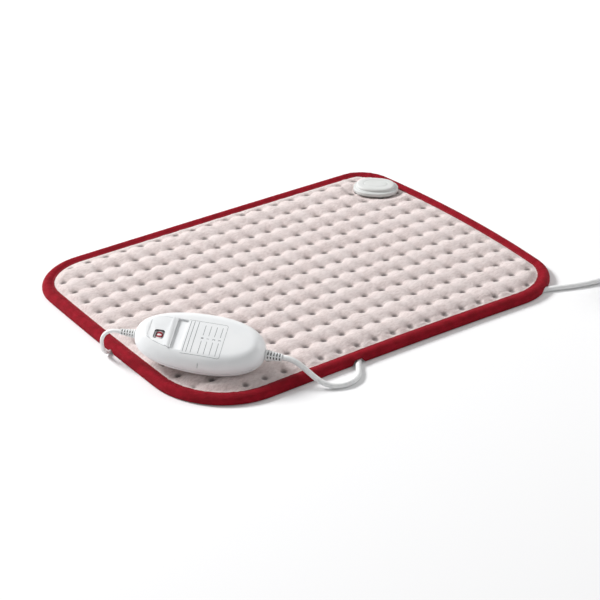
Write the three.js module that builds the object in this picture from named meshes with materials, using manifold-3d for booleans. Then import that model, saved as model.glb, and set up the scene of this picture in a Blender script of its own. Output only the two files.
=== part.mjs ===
// A quilted electric heating pad with its hand controller, coupling and leads.
// Millimetres. The pad lies flat: X along its long side, Y to the rear, Z up, origin at its bottom centre.

import * as THREE from "three";
import { mergeVertices } from "three/addons/utils/BufferGeometryUtils.js";
import Module from "manifold-3d";

const wasm = await Module();
wasm.setup();

// Clearances that the whole assembly shares
const gap = 0.3;
const overrun = 1;

// Pad outline: straight sides, corner radii and the bow of each side, as the pad lies
const padLength = 423.6;
const padDepth = 335;
const padShiftX = -5.5;
const padShiftY = -1.5;
const cornerRearRight = 31.5;
const cornerRearLeft = 64;
const cornerFrontLeft = 76.5;
const cornerFrontRight = 53.5;
const bowRight = 13.5;
const bowLeft = 1.7;
const bowRear = 1;
const bowFront = -4.6;
const slantRight = -2.9;
const slantLeft = 2.6;
const slantRear = 1.9;
const slantFront = -2.2;

// Pad layers, from the floor up
const bottomCoverThickness = 5.9;
const carrierThickness = 0.5;
const quiltUnderside = bottomCoverThickness + gap + carrierThickness + gap;
const crownHeight = 11.3;
const valleyHeight = 9.2;
const dimpleHeight = quiltUnderside + 0.5 * gap + 0.4;
const quiltEdgeHeight = 8.3;
const edgeRollWidth = 15;
const dimpleColumns = 20;
const dimpleRows = 13;
const columnPitch = 20.42;
const rowPitch = 24.18;
const firstColumnX = -194.6;
const rearRowY = 146.9;

// Edge binding, a tape folded round the rim of the layers
const bindingWidth = 11;
const bindingHeight = 7.8;
const bindingSlotDepth = 5.5;
const bindingCornerRound = 3.6;

// Heating wire, sewn to the underside of its carrier
const wireDiameter = 1.2;
const wireChannelWidth = 2.2;
const wireInset = 26;
const wireRows = 10;
const wireCouplingRoom = 44;
const cutoutLength = 12;
const cutoutDiameter = 3.6;

// Leads, and the room that the channels in the pad leave round them
const channelRoom = 0.8;
const channelShoulderShare = 0.75;
const channelRoofShare = 0.3;
const padLeadDiameter = 3.6;
const mainsLeadDiameter = 5.2;
const padLeadSides = 8;
const mainsLeadSides = 8;

// Coil of the mains lead, put away beside the pad
const coilCentreX = 272;
const coilCentreY = -213;
const coilInnerRadius = 22;
const coilPitch = 5.75;
const coilLayers = 4;
const turnsPerLayer = 2.5;
const coilStepsPerTurn = 24;
const coilSides = 6;
const coilStartAngle = 85.6;
const tieWidth = 6;
const tieThickness = 1;
const tieAngle = 200;

// Mains plug, a flat two-pin plug lying beside the coil
const plugWidth = 35.3;
const plugHeight = 13.7;
const plugLength = 37;
const plugNeckWidth = 17;
const plugSleeveLength = 18;
const plugSleeveDiameter = 10;
const plugBackX = 352;
const plugAxisY = -178.3;
const pinDiameter = 4;
const pinLength = 19;
const pinSpacing = 18.6;
const pinSeatDepth = 12;

// Coupling in the rear right corner of the pad
const couplingInsetX = 31.8;
const couplingInsetY = 59;
const couplingX = padLength / 2 + padShiftX - couplingInsetX;
const couplingY = padDepth / 2 + padShiftY - couplingInsetY;
const couplingAngle = -45;
const couplingBottomLength = 46;
const couplingBottomWidth = 33;
const couplingBottomHeight = 5.6;
const couplingBaseLength = 50;
const couplingBaseWidth = 36;
const couplingBaseHeight = 3.9;
const couplingCapLength = 43;
const couplingCapWidth = 29.5;
const couplingCapHeight = 3.6;
const couplingCapRound = 1.6;
const capRingLength = 27;
const capRingWidth = 15;
const capRingGroove = 0.8;
const neckLength = 35;
const neckWidth = 23;
const neckWall = 2.2;
const snoutLength = 7;
const snoutWidth = 7;
const snoutTipWidth = 5;
const contactPinDiameter = 1.8;
const contactPinSpacing = 7;
const couplingScrewDiameter = 2.2;
const couplingScrewSpacing = 22;

// Controller housing: half sizes of its oval at the parting plane, and its pose on the pad
const controllerX = -170;
const controllerY = -96.7;
const controllerZ = 30.3;
const controllerYaw = -46.06;
const controllerPitch = 4.31;
const controllerRoll = 20;
const halfLength = 60.6;
const halfWidth = 31.4;
const ovalPower = 2.2;
const eggShare = 0.06;
const upperHeight = 14;
const upperShoulder = 12.5;
const upperCrown = 0.5;
const lowerHeight = 13;
const lowerBelly = 22;
const housingWall = 2.2;
const roofWall = 3.3;
const tickWidth = 0.6;
const tickDepth = 0.5;
const tickX = 5;

// Switch track, slider and digit drum
const trackInset = 9;
const trackLeft = -46;
const trackRight = -13;
const trackFront = -20.5;
const trackRear = 14.5;
const trackFloor = 12.2;
const sliderTravel = 9.6;
const ridgeWidth = 5;
const ridgeTopWidth = 2;
const ridgeHeight = 1.3;
const plateThickness = 1.5;
const windowX = -35.8;
const windowY = -6.8;
const windowLength = 9.6;
const windowWidth = 10.6;
const windowRound = 2.2;
const drumRadius = 7;
const drumWidth = 9;
const drumTop = 12.5;
const axleDiameter = 1.8;
const rollerWidth = 2.2;
const rollerTurn = 270;
const cheekThickness = 1.2;
const cheekWidth = 4;
const cheekGap = 0.35;
const railWidth = 1.2;
const railFootWidth = 8;
const railFootHeight = 0.8;

// Circuit board and what it carries
const boardEndRoom = 14.6;
const boardLength = 2 * (halfLength - boardEndRoom);
const boardWidth = 26;
const boardThickness = 1.6;
const boardTop = -3.2;
const boardRound = 6;
const fuseLength = 20;
const fuseDiameter = 5.2;
const filmCapacitorLength = 13;
const filmCapacitorWidth = 6;
const filmCapacitorHeight = 10;
const capacitorRoom = 3.7;
const electrolyticDiameter = 8;
const electrolyticHeight = 11;
const triacWidth = 10;
const triacThickness = 4.4;
const triacHeight = 9;
const triacTabHeight = 3.6;
const chipLength = 9.6;
const chipWidth = 6.4;
const chipHeight = 3.2;
const terminalLength = 9;
const terminalWidth = 11;
const terminalHeight = 8;
const lampDiameter = 3;
const lampHeight = 4.5;

// Housing screws
const screwInset = 22.6;
const screwX = halfLength - screwInset;
const screwY = 17;
const screwHeadDiameter = 5;
const screwHeadHeight = 1.7;
const screwDiameter = 2.6;
const screwHeadTop = -6.4;
const screwTip = 5;
const bossDiameter = 6.8;
const postDiameter = 3.6;
const postX = 30;

// Strain reliefs at the two ends of the housing
const padReliefDiameter = 8.2;
const padReliefTip = 5.6;
const padReliefLength = 14;
const mainsReliefDiameter = 10;
const mainsReliefTip = 6.9;
const mainsReliefLength = 15.2;
const reliefNeckShare = 0.78;
const reliefFlange = 1.2;
const reliefFlangeLength = 2.4;
const reliefRibs = 4;
const reliefGrooveDepth = 1;
const reliefGrooveShare = 0.42;

// Routes of the leads, centre lines chosen by hand
const padLeadRoute = [
  [-221.9, -42.9, 35.9], [-224.6, -40.1, 36.2], [-227.4, -37, 35.7], [-230.2, -33.6, 33.6],
  [-232, -30.4, 30], [-232.6, -27.4, 24.8], [-231.8, -24.6, 19], [-230.2, -22.1, 13],
  [-228, -20, 7.6], [-224.6, -18.4, 3.4], [-220, -16.9, 1.9], [-214, -15.3, 1.8],
  [-195, -10.9, 1.8], [-165, -5.7, 1.8], [-130, -1.2, 1.8], [-85, 4.8, 1.8],
  [-35, 12.5, 1.8], [15, 23.3, 1.8],
  // The last stretch is drawn from the coupling
  ...[[-114.5, -70.4], [-79.5, -57], [-56.5, -46.2], [-41.5, -37.6], [-31.5, -31.2], [-24.1, -24.1], [-16.8, -16.8]]
    .map(([x, y]) => [couplingX + x, couplingY + y, padLeadDiameter / 2]),
];
const mainsLeadRoute = [
  [-117.3, -151.4, 24.6], [-113.9, -155, 24.1], [-110.1, -159.2, 22.3], [-106.4, -164, 18.8],
  [-102.6, -169.8, 14.2], [-98.9, -176.2, 9.4], [-94.5, -182.2, 5.6], [-88.8, -187.2, 3.3],
  [-82, -190.6, 2.6], [-74.4, -191.8, 2.6], [-67, -190.6, 2.6], [-60.5, -187, 2.6],
  [-55.2, -181.5, 2.6], [-50.8, -175, 2.6], [-46.2, -168.5, 2.6], [-40.8, -162.6, 2.6],
  [-34.3, -157.6, 2.6], [-26.5, -154, 2.6], [-17, -152, 2.6], [0, -151, 2.6],
  [40, -150.5, 2.6], [85, -150.5, 2.6], [130, -150.7, 2.6], [158, -152, 2.6],
  [176, -155.2, 2.6], [191, -160, 2.6], [205, -165.3, 2.6], [219, -170.2, 2.7],
  [235, -174.1, 3], [254, -176.1, 3.7], [274, -176.7, 3.9],
];
const mainsTailRoute = [
  [275.6, -176.7, 21.1], [283, -177.2, 20.6], [292, -177.7, 18.6], [301, -178, 15.4],
  [310, -178.2, 12], [319, -178.3, 8.7], [326, -178.3, 7.2], [333.4, -178.3, 6.9],
];

// Shapes and solids

const degrees = (angle) => (angle * Math.PI) / 180;

function solid(geometry) {
  const bare = new THREE.BufferGeometry();
  bare.setAttribute("position", geometry.getAttribute("position").clone());
  if (geometry.index) bare.setIndex(geometry.index.clone());
  const merged = mergeVertices(bare, 1e-4);
  const vertProperties = new Float32Array(merged.getAttribute("position").array);
  const triVerts = new Uint32Array(merged.index.array);
  return new wasm.Manifold(new wasm.Mesh({ numProp: 3, vertProperties, triVerts }));
}

function geometryOf(body) {
  const mesh = body.getMesh();
  const geometry = new THREE.BufferGeometry();
  geometry.setAttribute("position", new THREE.BufferAttribute(new Float32Array(mesh.vertProperties), 3));
  geometry.setIndex(new THREE.BufferAttribute(new Uint32Array(mesh.triVerts), 1));
  return geometry;
}

function cut(body, ...tools) {
  return tools.reduce((rest, tool) => rest.subtract(tool), body);
}

function join(body, ...others) {
  return others.reduce((sum, other) => sum.add(other), body);
}

function prism(points, bottom, top) {
  const shape = new THREE.Shape(points.map(([x, y]) => new THREE.Vector2(x, y)));
  const geometry = new THREE.ExtrudeGeometry(shape, { depth: top - bottom, bevelEnabled: false });
  return solid(geometry.translate(0, 0, bottom));
}

function box(x0, x1, y0, y1, z0, z1) {
  const geometry = new THREE.BoxGeometry(x1 - x0, y1 - y0, z1 - z0);
  return solid(geometry.translate((x0 + x1) / 2, (y0 + y1) / 2, (z0 + z1) / 2));
}

function upright(x, y, diameter, bottom, top, sides = 16) {
  const geometry = new THREE.CylinderGeometry(diameter / 2, diameter / 2, top - bottom, sides);
  return solid(geometry.rotateX(Math.PI / 2).translate(x, y, (bottom + top) / 2));
}

function alongX(x0, x1, diameter, y, z, sides = 16) {
  const geometry = new THREE.CylinderGeometry(diameter / 2, diameter / 2, x1 - x0, sides);
  return solid(geometry.rotateZ(-Math.PI / 2).translate((x0 + x1) / 2, y, z));
}

// An oval whose corners are fuller than an ellipse's; egg widens it towards +X
function oval(halfX, halfY, power = 2, sides = 40, egg = 0) {
  const points = [];
  for (let i = 0; i < sides; i += 1) {
    const angle = (2 * Math.PI * i) / sides;
    const c = Math.cos(angle);
    const s = Math.sin(angle);
    const x = halfX * Math.sign(c) * Math.abs(c) ** (2 / power);
    const y = halfY * Math.sign(s) * Math.abs(s) ** (2 / power);
    points.push([x, y * (1 + (egg * x) / halfX)]);
  }
  return points;
}

function roundedRectangle(halfX, halfY, radius, arcSteps = 4) {
  const corners = [[1, 1, 0], [-1, 1, 90], [-1, -1, 180], [1, -1, 270]];
  return corners.flatMap(([sx, sy, start]) =>
    Array.from({ length: arcSteps + 1 }, (_, i) => {
      const angle = degrees(start + (90 * i) / arcSteps);
      return [
        sx * (halfX - radius) + radius * Math.cos(angle),
        sy * (halfY - radius) + radius * Math.sin(angle),
      ];
    }),
  );
}

// A closed skin over rings of points, capped by a fan at each end; rings turn left seen from outside the last
function loft(rings, firstTip, lastTip) {
  const count = rings[0].length;
  const vertices = rings.flat();
  const first = vertices.length;
  const last = first + 1;
  const all = [...vertices, firstTip, lastTip];
  const faces = [];
  for (let i = 0; i < count; i += 1) {
    const j = (i + 1) % count;
    faces.push([first, j, i]);
    for (let k = 0; k + 1 < rings.length; k += 1) {
      const a = k * count;
      const b = a + count;
      faces.push([a + i, a + j, b + j], [a + i, b + j, b + i]);
    }
    faces.push([last, (rings.length - 1) * count + i, (rings.length - 1) * count + j]);
  }
  const geometry = new THREE.BufferGeometry();
  geometry.setAttribute("position", new THREE.Float32BufferAttribute(all.flat(), 3));
  geometry.setIndex(faces.flat());
  return geometry;
}

// A section swept along a level path: its first value goes to the left of the path, its second up
function sweep(path, section, closed = false) {
  const count = path.length;
  const rings = path.map((point, i) => {
    const before = path[closed ? (i + count - 1) % count : Math.max(i - 1, 0)];
    const after = path[closed ? (i + 1) % count : Math.min(i + 1, count - 1)];
    const tangent = new THREE.Vector2(after[0] - before[0], after[1] - before[1]).normalize();
    return section.map(([left, up]) => [
      point[0] - tangent.y * left,
      point[1] + tangent.x * left,
      (point[2] ?? 0) + up,
    ]);
  });
  const middle = (ring) => [0, 1, 2].map((k) => ring.reduce((sum, p) => sum + p[k], 0) / ring.length);
  if (!closed) return loft(rings, middle(rings[0]), middle(rings[count - 1]));
  const sides = section.length;
  const faces = [];
  for (let k = 0; k < count; k += 1) {
    for (let i = 0; i < sides; i += 1) {
      const a = k * sides;
      const b = ((k + 1) % count) * sides;
      const j = (i + 1) % sides;
      faces.push([a + i, a + j, b + j], [a + i, b + j, b + i]);
    }
  }
  const geometry = new THREE.BufferGeometry();
  geometry.setAttribute("position", new THREE.Float32BufferAttribute(rings.flat(2), 3));
  geometry.setIndex(faces.flat());
  return geometry;
}

const vectors = (route) => route.map(([x, y, z]) => new THREE.Vector3(x, y, z));
const curveOf = (route) => new THREE.CatmullRomCurve3(vectors(route), false, "centripetal");

function tube(route, diameter, sides, stepLength) {
  const curve = curveOf(route);
  const shape = new THREE.Shape();
  for (let i = 0; i < sides; i += 1) {
    const angle = (2 * Math.PI * i) / sides;
    const x = (diameter / 2) * Math.cos(angle);
    const y = (diameter / 2) * Math.sin(angle);
    if (i === 0) shape.moveTo(x, y);
    else shape.lineTo(x, y);
  }
  const steps = Math.ceil(curve.getLength() / stepLength);
  return new THREE.ExtrudeGeometry(shape, { steps, extrudePath: curve });
}

const root = new THREE.Group();

function finish(color, roughness, metalness = 0) {
  return new THREE.MeshStandardMaterial({ color, roughness, metalness });
}

function add(parent, name, shape, material) {
  const geometry = shape instanceof THREE.BufferGeometry ? shape : geometryOf(shape);
  const mesh = new THREE.Mesh(geometry, material);
  mesh.name = name;
  parent.add(mesh);
  return mesh;
}

const fleece = finish(0xf3e6e3, 0.95);
const wovenTape = finish(0x9b2130, 0.75);
const backing = finish(0xe9dfdb, 0.95);
const interlining = finish(0xd8d5cc, 0.9);
const wireRed = finish(0xb5483a, 0.6);
const whiteShell = finish(0xf1f2f3, 0.42);
const greyWhiteShell = finish(0xe4e5e2, 0.5);
const leadGrey = finish(0xdddedd, 0.5);
const boardGreen = finish(0x2f6b45, 0.6);
const blackPlastic = finish(0x26272a, 0.5);
const copper = finish(0xc58a4f, 0.35, 1);
const steel = finish(0xb9bcc0, 0.35, 1);

// Pad outline

// The bow and slant of each side fade out towards the neighbouring sides
function bend(x, y) {
  const u = x / (padLength / 2);
  const v = y / (padDepth / 2);
  const near = (side) => Math.max(side, 0) ** 4;
  const dx = near(u) * (bowRight * (1 - v * v) + slantRight * v) - near(-u) * (bowLeft * (1 - v * v) + slantLeft * v);
  const dy = near(v) * (bowRear * (1 - u * u) + slantRear * u) - near(-v) * (bowFront * (1 - u * u) + slantFront * u);
  return [x + dx + padShiftX, y + dy + padShiftY];
}

function padOutline(cornerSteps = 8, longSteps = 8, shortSteps = 6) {
  const corners = [
    [1, 1, 0, cornerRearRight, longSteps],
    [-1, 1, 90, cornerRearLeft, shortSteps],
    [-1, -1, 180, cornerFrontLeft, longSteps],
    [1, -1, 270, cornerFrontRight, shortSteps],
  ];
  const raw = [];
  corners.forEach(([sx, sy, start, radius, sideSteps], k) => {
    const centreX = sx * (padLength / 2 - radius);
    const centreY = sy * (padDepth / 2 - radius);
    for (let i = 0; i <= cornerSteps; i += 1) {
      const angle = degrees(start + (90 * i) / cornerSteps);
      raw.push([centreX + radius * Math.cos(angle), centreY + radius * Math.sin(angle)]);
    }
    const [nx, ny, nextStart, nextRadius] = corners[(k + 1) % 4];
    const turn = degrees(nextStart);
    const end = [
      nx * (padLength / 2 - nextRadius) + nextRadius * Math.cos(turn),
      ny * (padDepth / 2 - nextRadius) + nextRadius * Math.sin(turn),
    ];
    const from = raw[raw.length - 1];
    for (let i = 1; i < sideSteps; i += 1) {
      const share = i / sideSteps;
      raw.push([from[0] + (end[0] - from[0]) * share, from[1] + (end[1] - from[1]) * share]);
    }
  });
  return raw.map(([x, y]) => bend(x, y));
}

const outline = padOutline();

// The same outline moved inwards
function inward(distance) {
  return outline.map((point, i) => {
    const before = outline[(i + outline.length - 1) % outline.length];
    const after = outline[(i + 1) % outline.length];
    const tangent = new THREE.Vector2(after[0] - before[0], after[1] - before[1]).normalize();
    return [point[0] - tangent.y * distance, point[1] + tangent.x * distance];
  });
}

function distanceInside(x, y, loop) {
  let nearest = Infinity;
  let inside = false;
  loop.forEach(([x0, y0], i) => {
    const [x1, y1] = loop[(i + 1) % loop.length];
    const along = ((x - x0) * (x1 - x0) + (y - y0) * (y1 - y0)) / ((x1 - x0) ** 2 + (y1 - y0) ** 2);
    const t = Math.min(Math.max(along, 0), 1);
    nearest = Math.min(nearest, Math.hypot(x - x0 - t * (x1 - x0), y - y0 - t * (y1 - y0)));
    if (y0 > y !== y1 > y && x < x0 + ((y - y0) * (x1 - x0)) / (y1 - y0)) inside = !inside;
  });
  return inside ? nearest : -nearest;
}

// Channels that the leads press into the pad from below, one along each lead

// The first and last points of each route that lie under the pad
const padLeadUnder = [9, padLeadRoute.length];
const mainsLeadUnder = [11, 28];

function tunnel(route, diameter, [from, to]) {
  const half = diameter / 2 + channelRoom;
  const points = route.slice(from, to).map(([x, y]) => [x, y]);
  const middle = diameter / 2;
  const top = diameter + gap;
  const shoulder = middle + channelShoulderShare * (top - middle);
  const section = [
    [half, -overrun], [half, middle], [half * channelShoulderShare, shoulder], [half * channelRoofShare, top],
    [-half * channelRoofShare, top], [-half * channelShoulderShare, shoulder], [-half, middle], [-half, -overrun],
  ];
  const curve = new THREE.CatmullRomCurve3(vectors(points.map(([x, y]) => [x, y, 0])), false, "centripetal");
  const steps = Math.ceil(curve.getLength() / (2 * diameter));
  const path = curve.getSpacedPoints(steps).map((p) => [p.x, p.y, 0]);
  return solid(sweep(path, section));
}

const padLeadTunnel = tunnel(padLeadRoute, padLeadDiameter, padLeadUnder);
const mainsLeadTunnel = tunnel(mainsLeadRoute, mainsLeadDiameter, mainsLeadUnder);

// Shapes placed on the coupling's own axes
function atCoupling(body) {
  return body.rotate([0, 0, couplingAngle]).translate([couplingX, couplingY, 0]);
}
const couplingOval = (length, width, margin = 0) => oval(length / 2 + margin, width / 2 + margin, 2.3, 24);

// Pad

const innerRim = inward(bindingWidth + gap);

function topCover() {
  const xs = [firstColumnX - columnPitch];
  for (let i = 0; i < 2 * dimpleColumns - 1; i += 1) xs.push(firstColumnX + (i * columnPitch) / 2);
  xs.push(firstColumnX + dimpleColumns * columnPitch);
  const ys = [rearRowY + rowPitch];
  for (let j = 0; j < 2 * dimpleRows - 1; j += 1) ys.push(rearRowY - (j * rowPitch) / 2);
  ys.push(rearRowY - dimpleRows * rowPitch);
  const height = (x, y, i, j) => {
    const onColumn = i % 2 === 1;
    const onRow = j % 2 === 1;
    let top = crownHeight;
    if (onColumn && onRow) top = dimpleHeight;
    else if (onRow) top = valleyHeight;
    const inside = Math.max(distanceInside(x, y, innerRim), 0);
    const share = Math.min(inside / edgeRollWidth, 1);
    const roll = quiltEdgeHeight + (crownHeight - quiltEdgeHeight) * Math.sin((share * Math.PI) / 2);
    return Math.min(top, roll);
  };
  const vertices = [];
  xs.forEach((x, i) => ys.forEach((y, j) => vertices.push([x, y, height(x, y, i, j)])));
  const rowCount = ys.length;
  const at = (i, j) => i * rowCount + j;
  const faces = [];
  // Three faces from each dimple to the crowns of the puffs beside it, on each side of its row
  for (let i = 1; i < xs.length; i += 2) {
    for (let j = 1; j < rowCount; j += 2) {
      const [left, dimple, right] = [at(i - 1, j), at(i, j), at(i + 1, j)];
      const [rearLeft, rearRight] = [at(i - 1, j - 1), at(i + 1, j - 1)];
      const [frontLeft, frontRight] = [at(i - 1, j + 1), at(i + 1, j + 1)];
      faces.push([left, dimple, rearLeft], [dimple, rearRight, rearLeft], [dimple, right, rearRight]);
      faces.push([left, frontLeft, dimple], [dimple, frontLeft, frontRight], [dimple, frontRight, right]);
    }
  }
  const rim = [];
  for (let j = 0; j < rowCount; j += 1) rim.push(at(0, j));
  for (let i = 2; i < xs.length; i += 2) rim.push(at(i, rowCount - 1));
  for (let j = rowCount - 2; j >= 0; j -= 1) rim.push(at(xs.length - 1, j));
  for (let i = xs.length - 3; i > 0; i -= 2) rim.push(at(i, 0));
  const lower = vertices.length;
  rim.forEach((v) => vertices.push([vertices[v][0], vertices[v][1], quiltUnderside]));
  const centre = vertices.length;
  vertices.push([0, 0, quiltUnderside]);
  rim.forEach((v, k) => {
    const next = (k + 1) % rim.length;
    faces.push([v, lower + k, rim[next]], [rim[next], lower + k, lower + next]);
    faces.push([centre, lower + next, lower + k]);
  });
  const geometry = new THREE.BufferGeometry();
  geometry.setAttribute("position", new THREE.Float32BufferAttribute(vertices.flat(), 3));
  geometry.setIndex(faces.flat());
  const trimmed = solid(geometry).intersect(prism(innerRim, 0, crownHeight + overrun));
  const seat = atCoupling(prism(couplingOval(couplingBaseLength, couplingBaseWidth, gap), couplingSeat, crownHeight + overrun));
  const opening = atCoupling(prism(couplingOval(neckLength, neckWidth, gap), 0, crownHeight + overrun));
  return cut(trimmed, seat, opening);
}

// The cap's foot sinks this far into the pile
const couplingSeat = crownHeight - gap - 0.4;

// The wire runs to and fro along the pad's length, between the rows of dimples
const wireFirstY = 122.7;
const wireHalfLength = padLength / 2 - wireInset;
const wireZ = bottomCoverThickness - wireChannelWidth / 2 + (wireChannelWidth - wireDiameter) / 4;

function wireRoute() {
  const route = [];
  for (let row = 0; row < wireRows; row += 1) {
    const y = wireFirstY - rowPitch / 2 - row * rowPitch;
    const right = row < 3 ? wireHalfLength - wireCouplingRoom : wireHalfLength;
    if (row % 2 === 0) route.push([right, y], [-wireHalfLength, y]);
    else route.push([-wireHalfLength, y], [right, y]);
  }
  return route;
}

function heatingWire() {
  const route = wireRoute();
  const half = wireDiameter / 2;
  const section = [];
  for (let i = 0; i < 6; i += 1) {
    section.push([half * Math.cos((i * Math.PI) / 3), half * Math.sin((i * Math.PI) / 3)]);
  }
  const radius = rowPitch / 2;
  const path = [];
  route.forEach(([x, y], k) => {
    path.push([x, y, wireZ]);
    if (k % 2 === 1 && k + 1 < route.length) {
      const side = Math.sign(x);
      for (let i = 1; i < 6; i += 1) {
        const angle = (i * Math.PI) / 6;
        path.push([x + side * radius * Math.sin(angle), y - radius + radius * Math.cos(angle), wireZ]);
      }
    }
  });
  return sweep(path, section);
}

function wireChannels() {
  const half = wireChannelWidth / 2;
  const bottom = wireZ - wireDiameter / 2 - gap;
  const top = bottomCoverThickness + overrun;
  const section = [[half, bottom], [half, top], [-half, top], [-half, bottom]];
  const route = wireRoute();
  const radius = rowPitch / 2;
  const path = [];
  route.forEach(([x, y], k) => {
    const lead = k === 0 || k === route.length - 1 ? Math.sign(x) * gap : 0;
    path.push([x + lead, y, 0]);
    if (k % 2 === 1 && k + 1 < route.length) {
      const side = Math.sign(x);
      for (let i = 1; i < 6; i += 1) {
        const angle = (i * Math.PI) / 6;
        path.push([x + side * radius * Math.sin(angle), y - radius + radius * Math.cos(angle), 0]);
      }
    }
  });
  return solid(sweep(path, section));
}

// Thermal cut-outs lie in pockets beside the wire
const cutoutPlaces = [[-60, wireFirstY - 3 * rowPitch], [70, wireFirstY - 6 * rowPitch]];
const cutoutZ = bottomCoverThickness - cutoutDiameter / 2;

function bottomCover() {
  const layer = prism(innerRim, 0, bottomCoverThickness);
  const hole = atCoupling(prism(couplingOval(couplingBottomLength, couplingBottomWidth, gap), -overrun, bottomCoverThickness + overrun));
  const slot = atCoupling(box(
    -snoutWidth / 2 - gap, snoutWidth / 2 + gap,
    -couplingBottomWidth / 2 - snoutLength - 4 * overrun, 0,
    -overrun, couplingBottomHeight - gap,
  ));
  const pockets = cutoutPlaces.map(([x, y]) => box(
    x - cutoutLength / 2 - gap, x + cutoutLength / 2 + gap,
    y - cutoutDiameter / 2 - gap, y + cutoutDiameter / 2 + gap,
    cutoutZ - cutoutDiameter / 2 - gap, bottomCoverThickness + overrun,
  ));
  return cut(layer, padLeadTunnel, mainsLeadTunnel, hole, slot, wireChannels(), ...pockets);
}

function heatingCarrier() {
  const bottom = bottomCoverThickness + gap;
  const sheet = prism(inward(bindingWidth - bindingSlotDepth + gap), bottom, bottom + carrierThickness);
  const opening = atCoupling(prism(couplingOval(neckLength, neckWidth, gap), 0, quiltUnderside));
  return cut(sheet, opening);
}

function edgeBinding() {
  const slotBottom = bottomCoverThickness;
  const slotTop = quiltUnderside;
  const round = bindingCornerRound;
  const section = [
    [bindingWidth, 0],
    [bindingWidth, slotBottom],
    [bindingWidth - bindingSlotDepth, slotBottom],
    [bindingWidth - bindingSlotDepth, slotTop],
    [bindingWidth, slotTop],
    [bindingWidth - 0.4 * (bindingHeight - slotTop), bindingHeight],
    [round, bindingHeight],
    [0.3 * round, bindingHeight - 0.3 * round],
    [0, bindingHeight - round],
    [0, 0.7 * round],
    [0.3 * round, 0.2 * round],
    [0.8 * round, 0],
  ];
  const ring = solid(sweep(outline, section, true));
  return cut(ring, padLeadTunnel, mainsLeadTunnel);
}

add(root, "bottom_cover", bottomCover(), backing);
add(root, "heating_wire", heatingWire(), wireRed);
cutoutPlaces.forEach(([x, y], k) => {
  const body = alongX(x - cutoutLength / 2, x + cutoutLength / 2, cutoutDiameter, y, cutoutZ, 10);
  add(root, `thermal_cutout_${k + 1}`, body, steel);
});
add(root, "heating_carrier", heatingCarrier(), interlining);
add(root, "top_cover", topCover(), fleece);
add(root, "edge_binding", edgeBinding(), wovenTape);

// Coupling: a plug part under the pad, and the cap that shows on top of it

const contactPlaces = [-1, 0, 1].map((k) => k * contactPinSpacing);

function couplingBottomShell() {
  const shell = prism(couplingOval(couplingBottomLength, couplingBottomWidth), 0, couplingBottomHeight);
  const back = -couplingBottomWidth / 2;
  const snout = prism([
    [snoutWidth / 2, back + snoutLength], [-snoutWidth / 2, back + snoutLength], [-snoutWidth / 2, back],
    [-snoutTipWidth / 2, back - snoutLength], [snoutTipWidth / 2, back - snoutLength], [snoutWidth / 2, back],
  ], 0, couplingBottomHeight - 2 * gap);
  const sockets = contactPlaces.map((x) =>
    upright(x, 0, contactPinDiameter + 2 * gap, housingWall - gap, couplingBottomHeight + overrun, 10));
  return atCoupling(cut(join(shell, snout), ...sockets));
}

function couplingTopShell() {
  const capFoot = couplingSeat + gap;
  const baseTop = capFoot + couplingBaseHeight;
  const capTop = baseTop + couplingCapHeight;
  const ring = (length, width, z) => couplingOval(length, width).map(([x, y]) => [x, y, z]);
  const shrink = 2 * couplingCapRound;
  const profile = [
    ring(couplingBaseLength, couplingBaseWidth, capFoot),
    ring(couplingBaseLength, couplingBaseWidth, baseTop - couplingCapRound),
    ring(couplingBaseLength - shrink, couplingBaseWidth - shrink, baseTop),
    ring(couplingCapLength, couplingCapWidth, baseTop),
    ring(couplingCapLength, couplingCapWidth, capTop - couplingCapRound),
    ring(couplingCapLength - 0.6 * shrink, couplingCapWidth - 0.6 * shrink, capTop - 0.3 * couplingCapRound),
    ring(couplingCapLength - 2 * shrink, couplingCapWidth - 2 * shrink, capTop),
  ];
  const cap = solid(loft(profile, [0, 0, capFoot], [0, 0, capTop]));
  const neck = prism(couplingOval(neckLength, neckWidth), couplingBottomHeight + gap, capFoot + overrun);
  const hollow = prism(
    couplingOval(neckLength - 2 * neckWall, neckWidth - 2 * neckWall),
    0, baseTop,
  );
  const grooveOuter = prism(couplingOval(capRingLength, capRingWidth), capTop - capRingGroove / 2, capTop + overrun);
  const grooveInner = prism(
    couplingOval(capRingLength - 2 * capRingGroove, capRingWidth - 2 * capRingGroove),
    capTop - capRingGroove, capTop + 2 * overrun,
  );
  return atCoupling(cut(join(cap, neck), hollow, grooveOuter.subtract(grooveInner)));
}

function contactBlock() {
  const block = prism(
    couplingOval(neckLength - 2 * neckWall - 2 * gap, neckWidth - 2 * neckWall - 2 * gap),
    couplingBottomHeight + 2 * gap, couplingSeat,
  );
  const bores = contactPlaces.map((x) => upright(x, 0, contactPinDiameter + 2 * gap, 0, crownHeight, 10));
  const screwBores = [-1, 1].map((side) =>
    upright((side * couplingScrewSpacing) / 2, 0, couplingScrewDiameter + 2 * gap, 0, crownHeight, 10));
  return atCoupling(cut(block, ...bores, ...screwBores));
}

add(root, "coupling_bottom_shell", couplingBottomShell(), greyWhiteShell);
add(root, "coupling_top_shell", couplingTopShell(), greyWhiteShell);
add(root, "contact_block", contactBlock(), blackPlastic);
contactPlaces.forEach((x, k) => {
  const pin = atCoupling(upright(x, 0, contactPinDiameter, housingWall, couplingSeat, 10));
  add(root, `contact_pin_${k + 1}`, pin, copper);
});
[-1, 1].forEach((side, k) => {
  const x = (side * couplingScrewSpacing) / 2;
  const screw = atCoupling(upright(x, 0, couplingScrewDiameter, couplingBottomHeight + 2 * gap, couplingSeat, 10));
  add(root, `coupling_screw_${k + 1}`, screw, steel);
});

// Controller: everything in its own group, laid on the pad's front left corner

const controller = new THREE.Group();
controller.position.set(controllerX, controllerY, controllerZ);
controller.rotation.set(degrees(controllerRoll), degrees(controllerPitch), degrees(controllerYaw), "ZYX");
root.add(controller);

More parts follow.
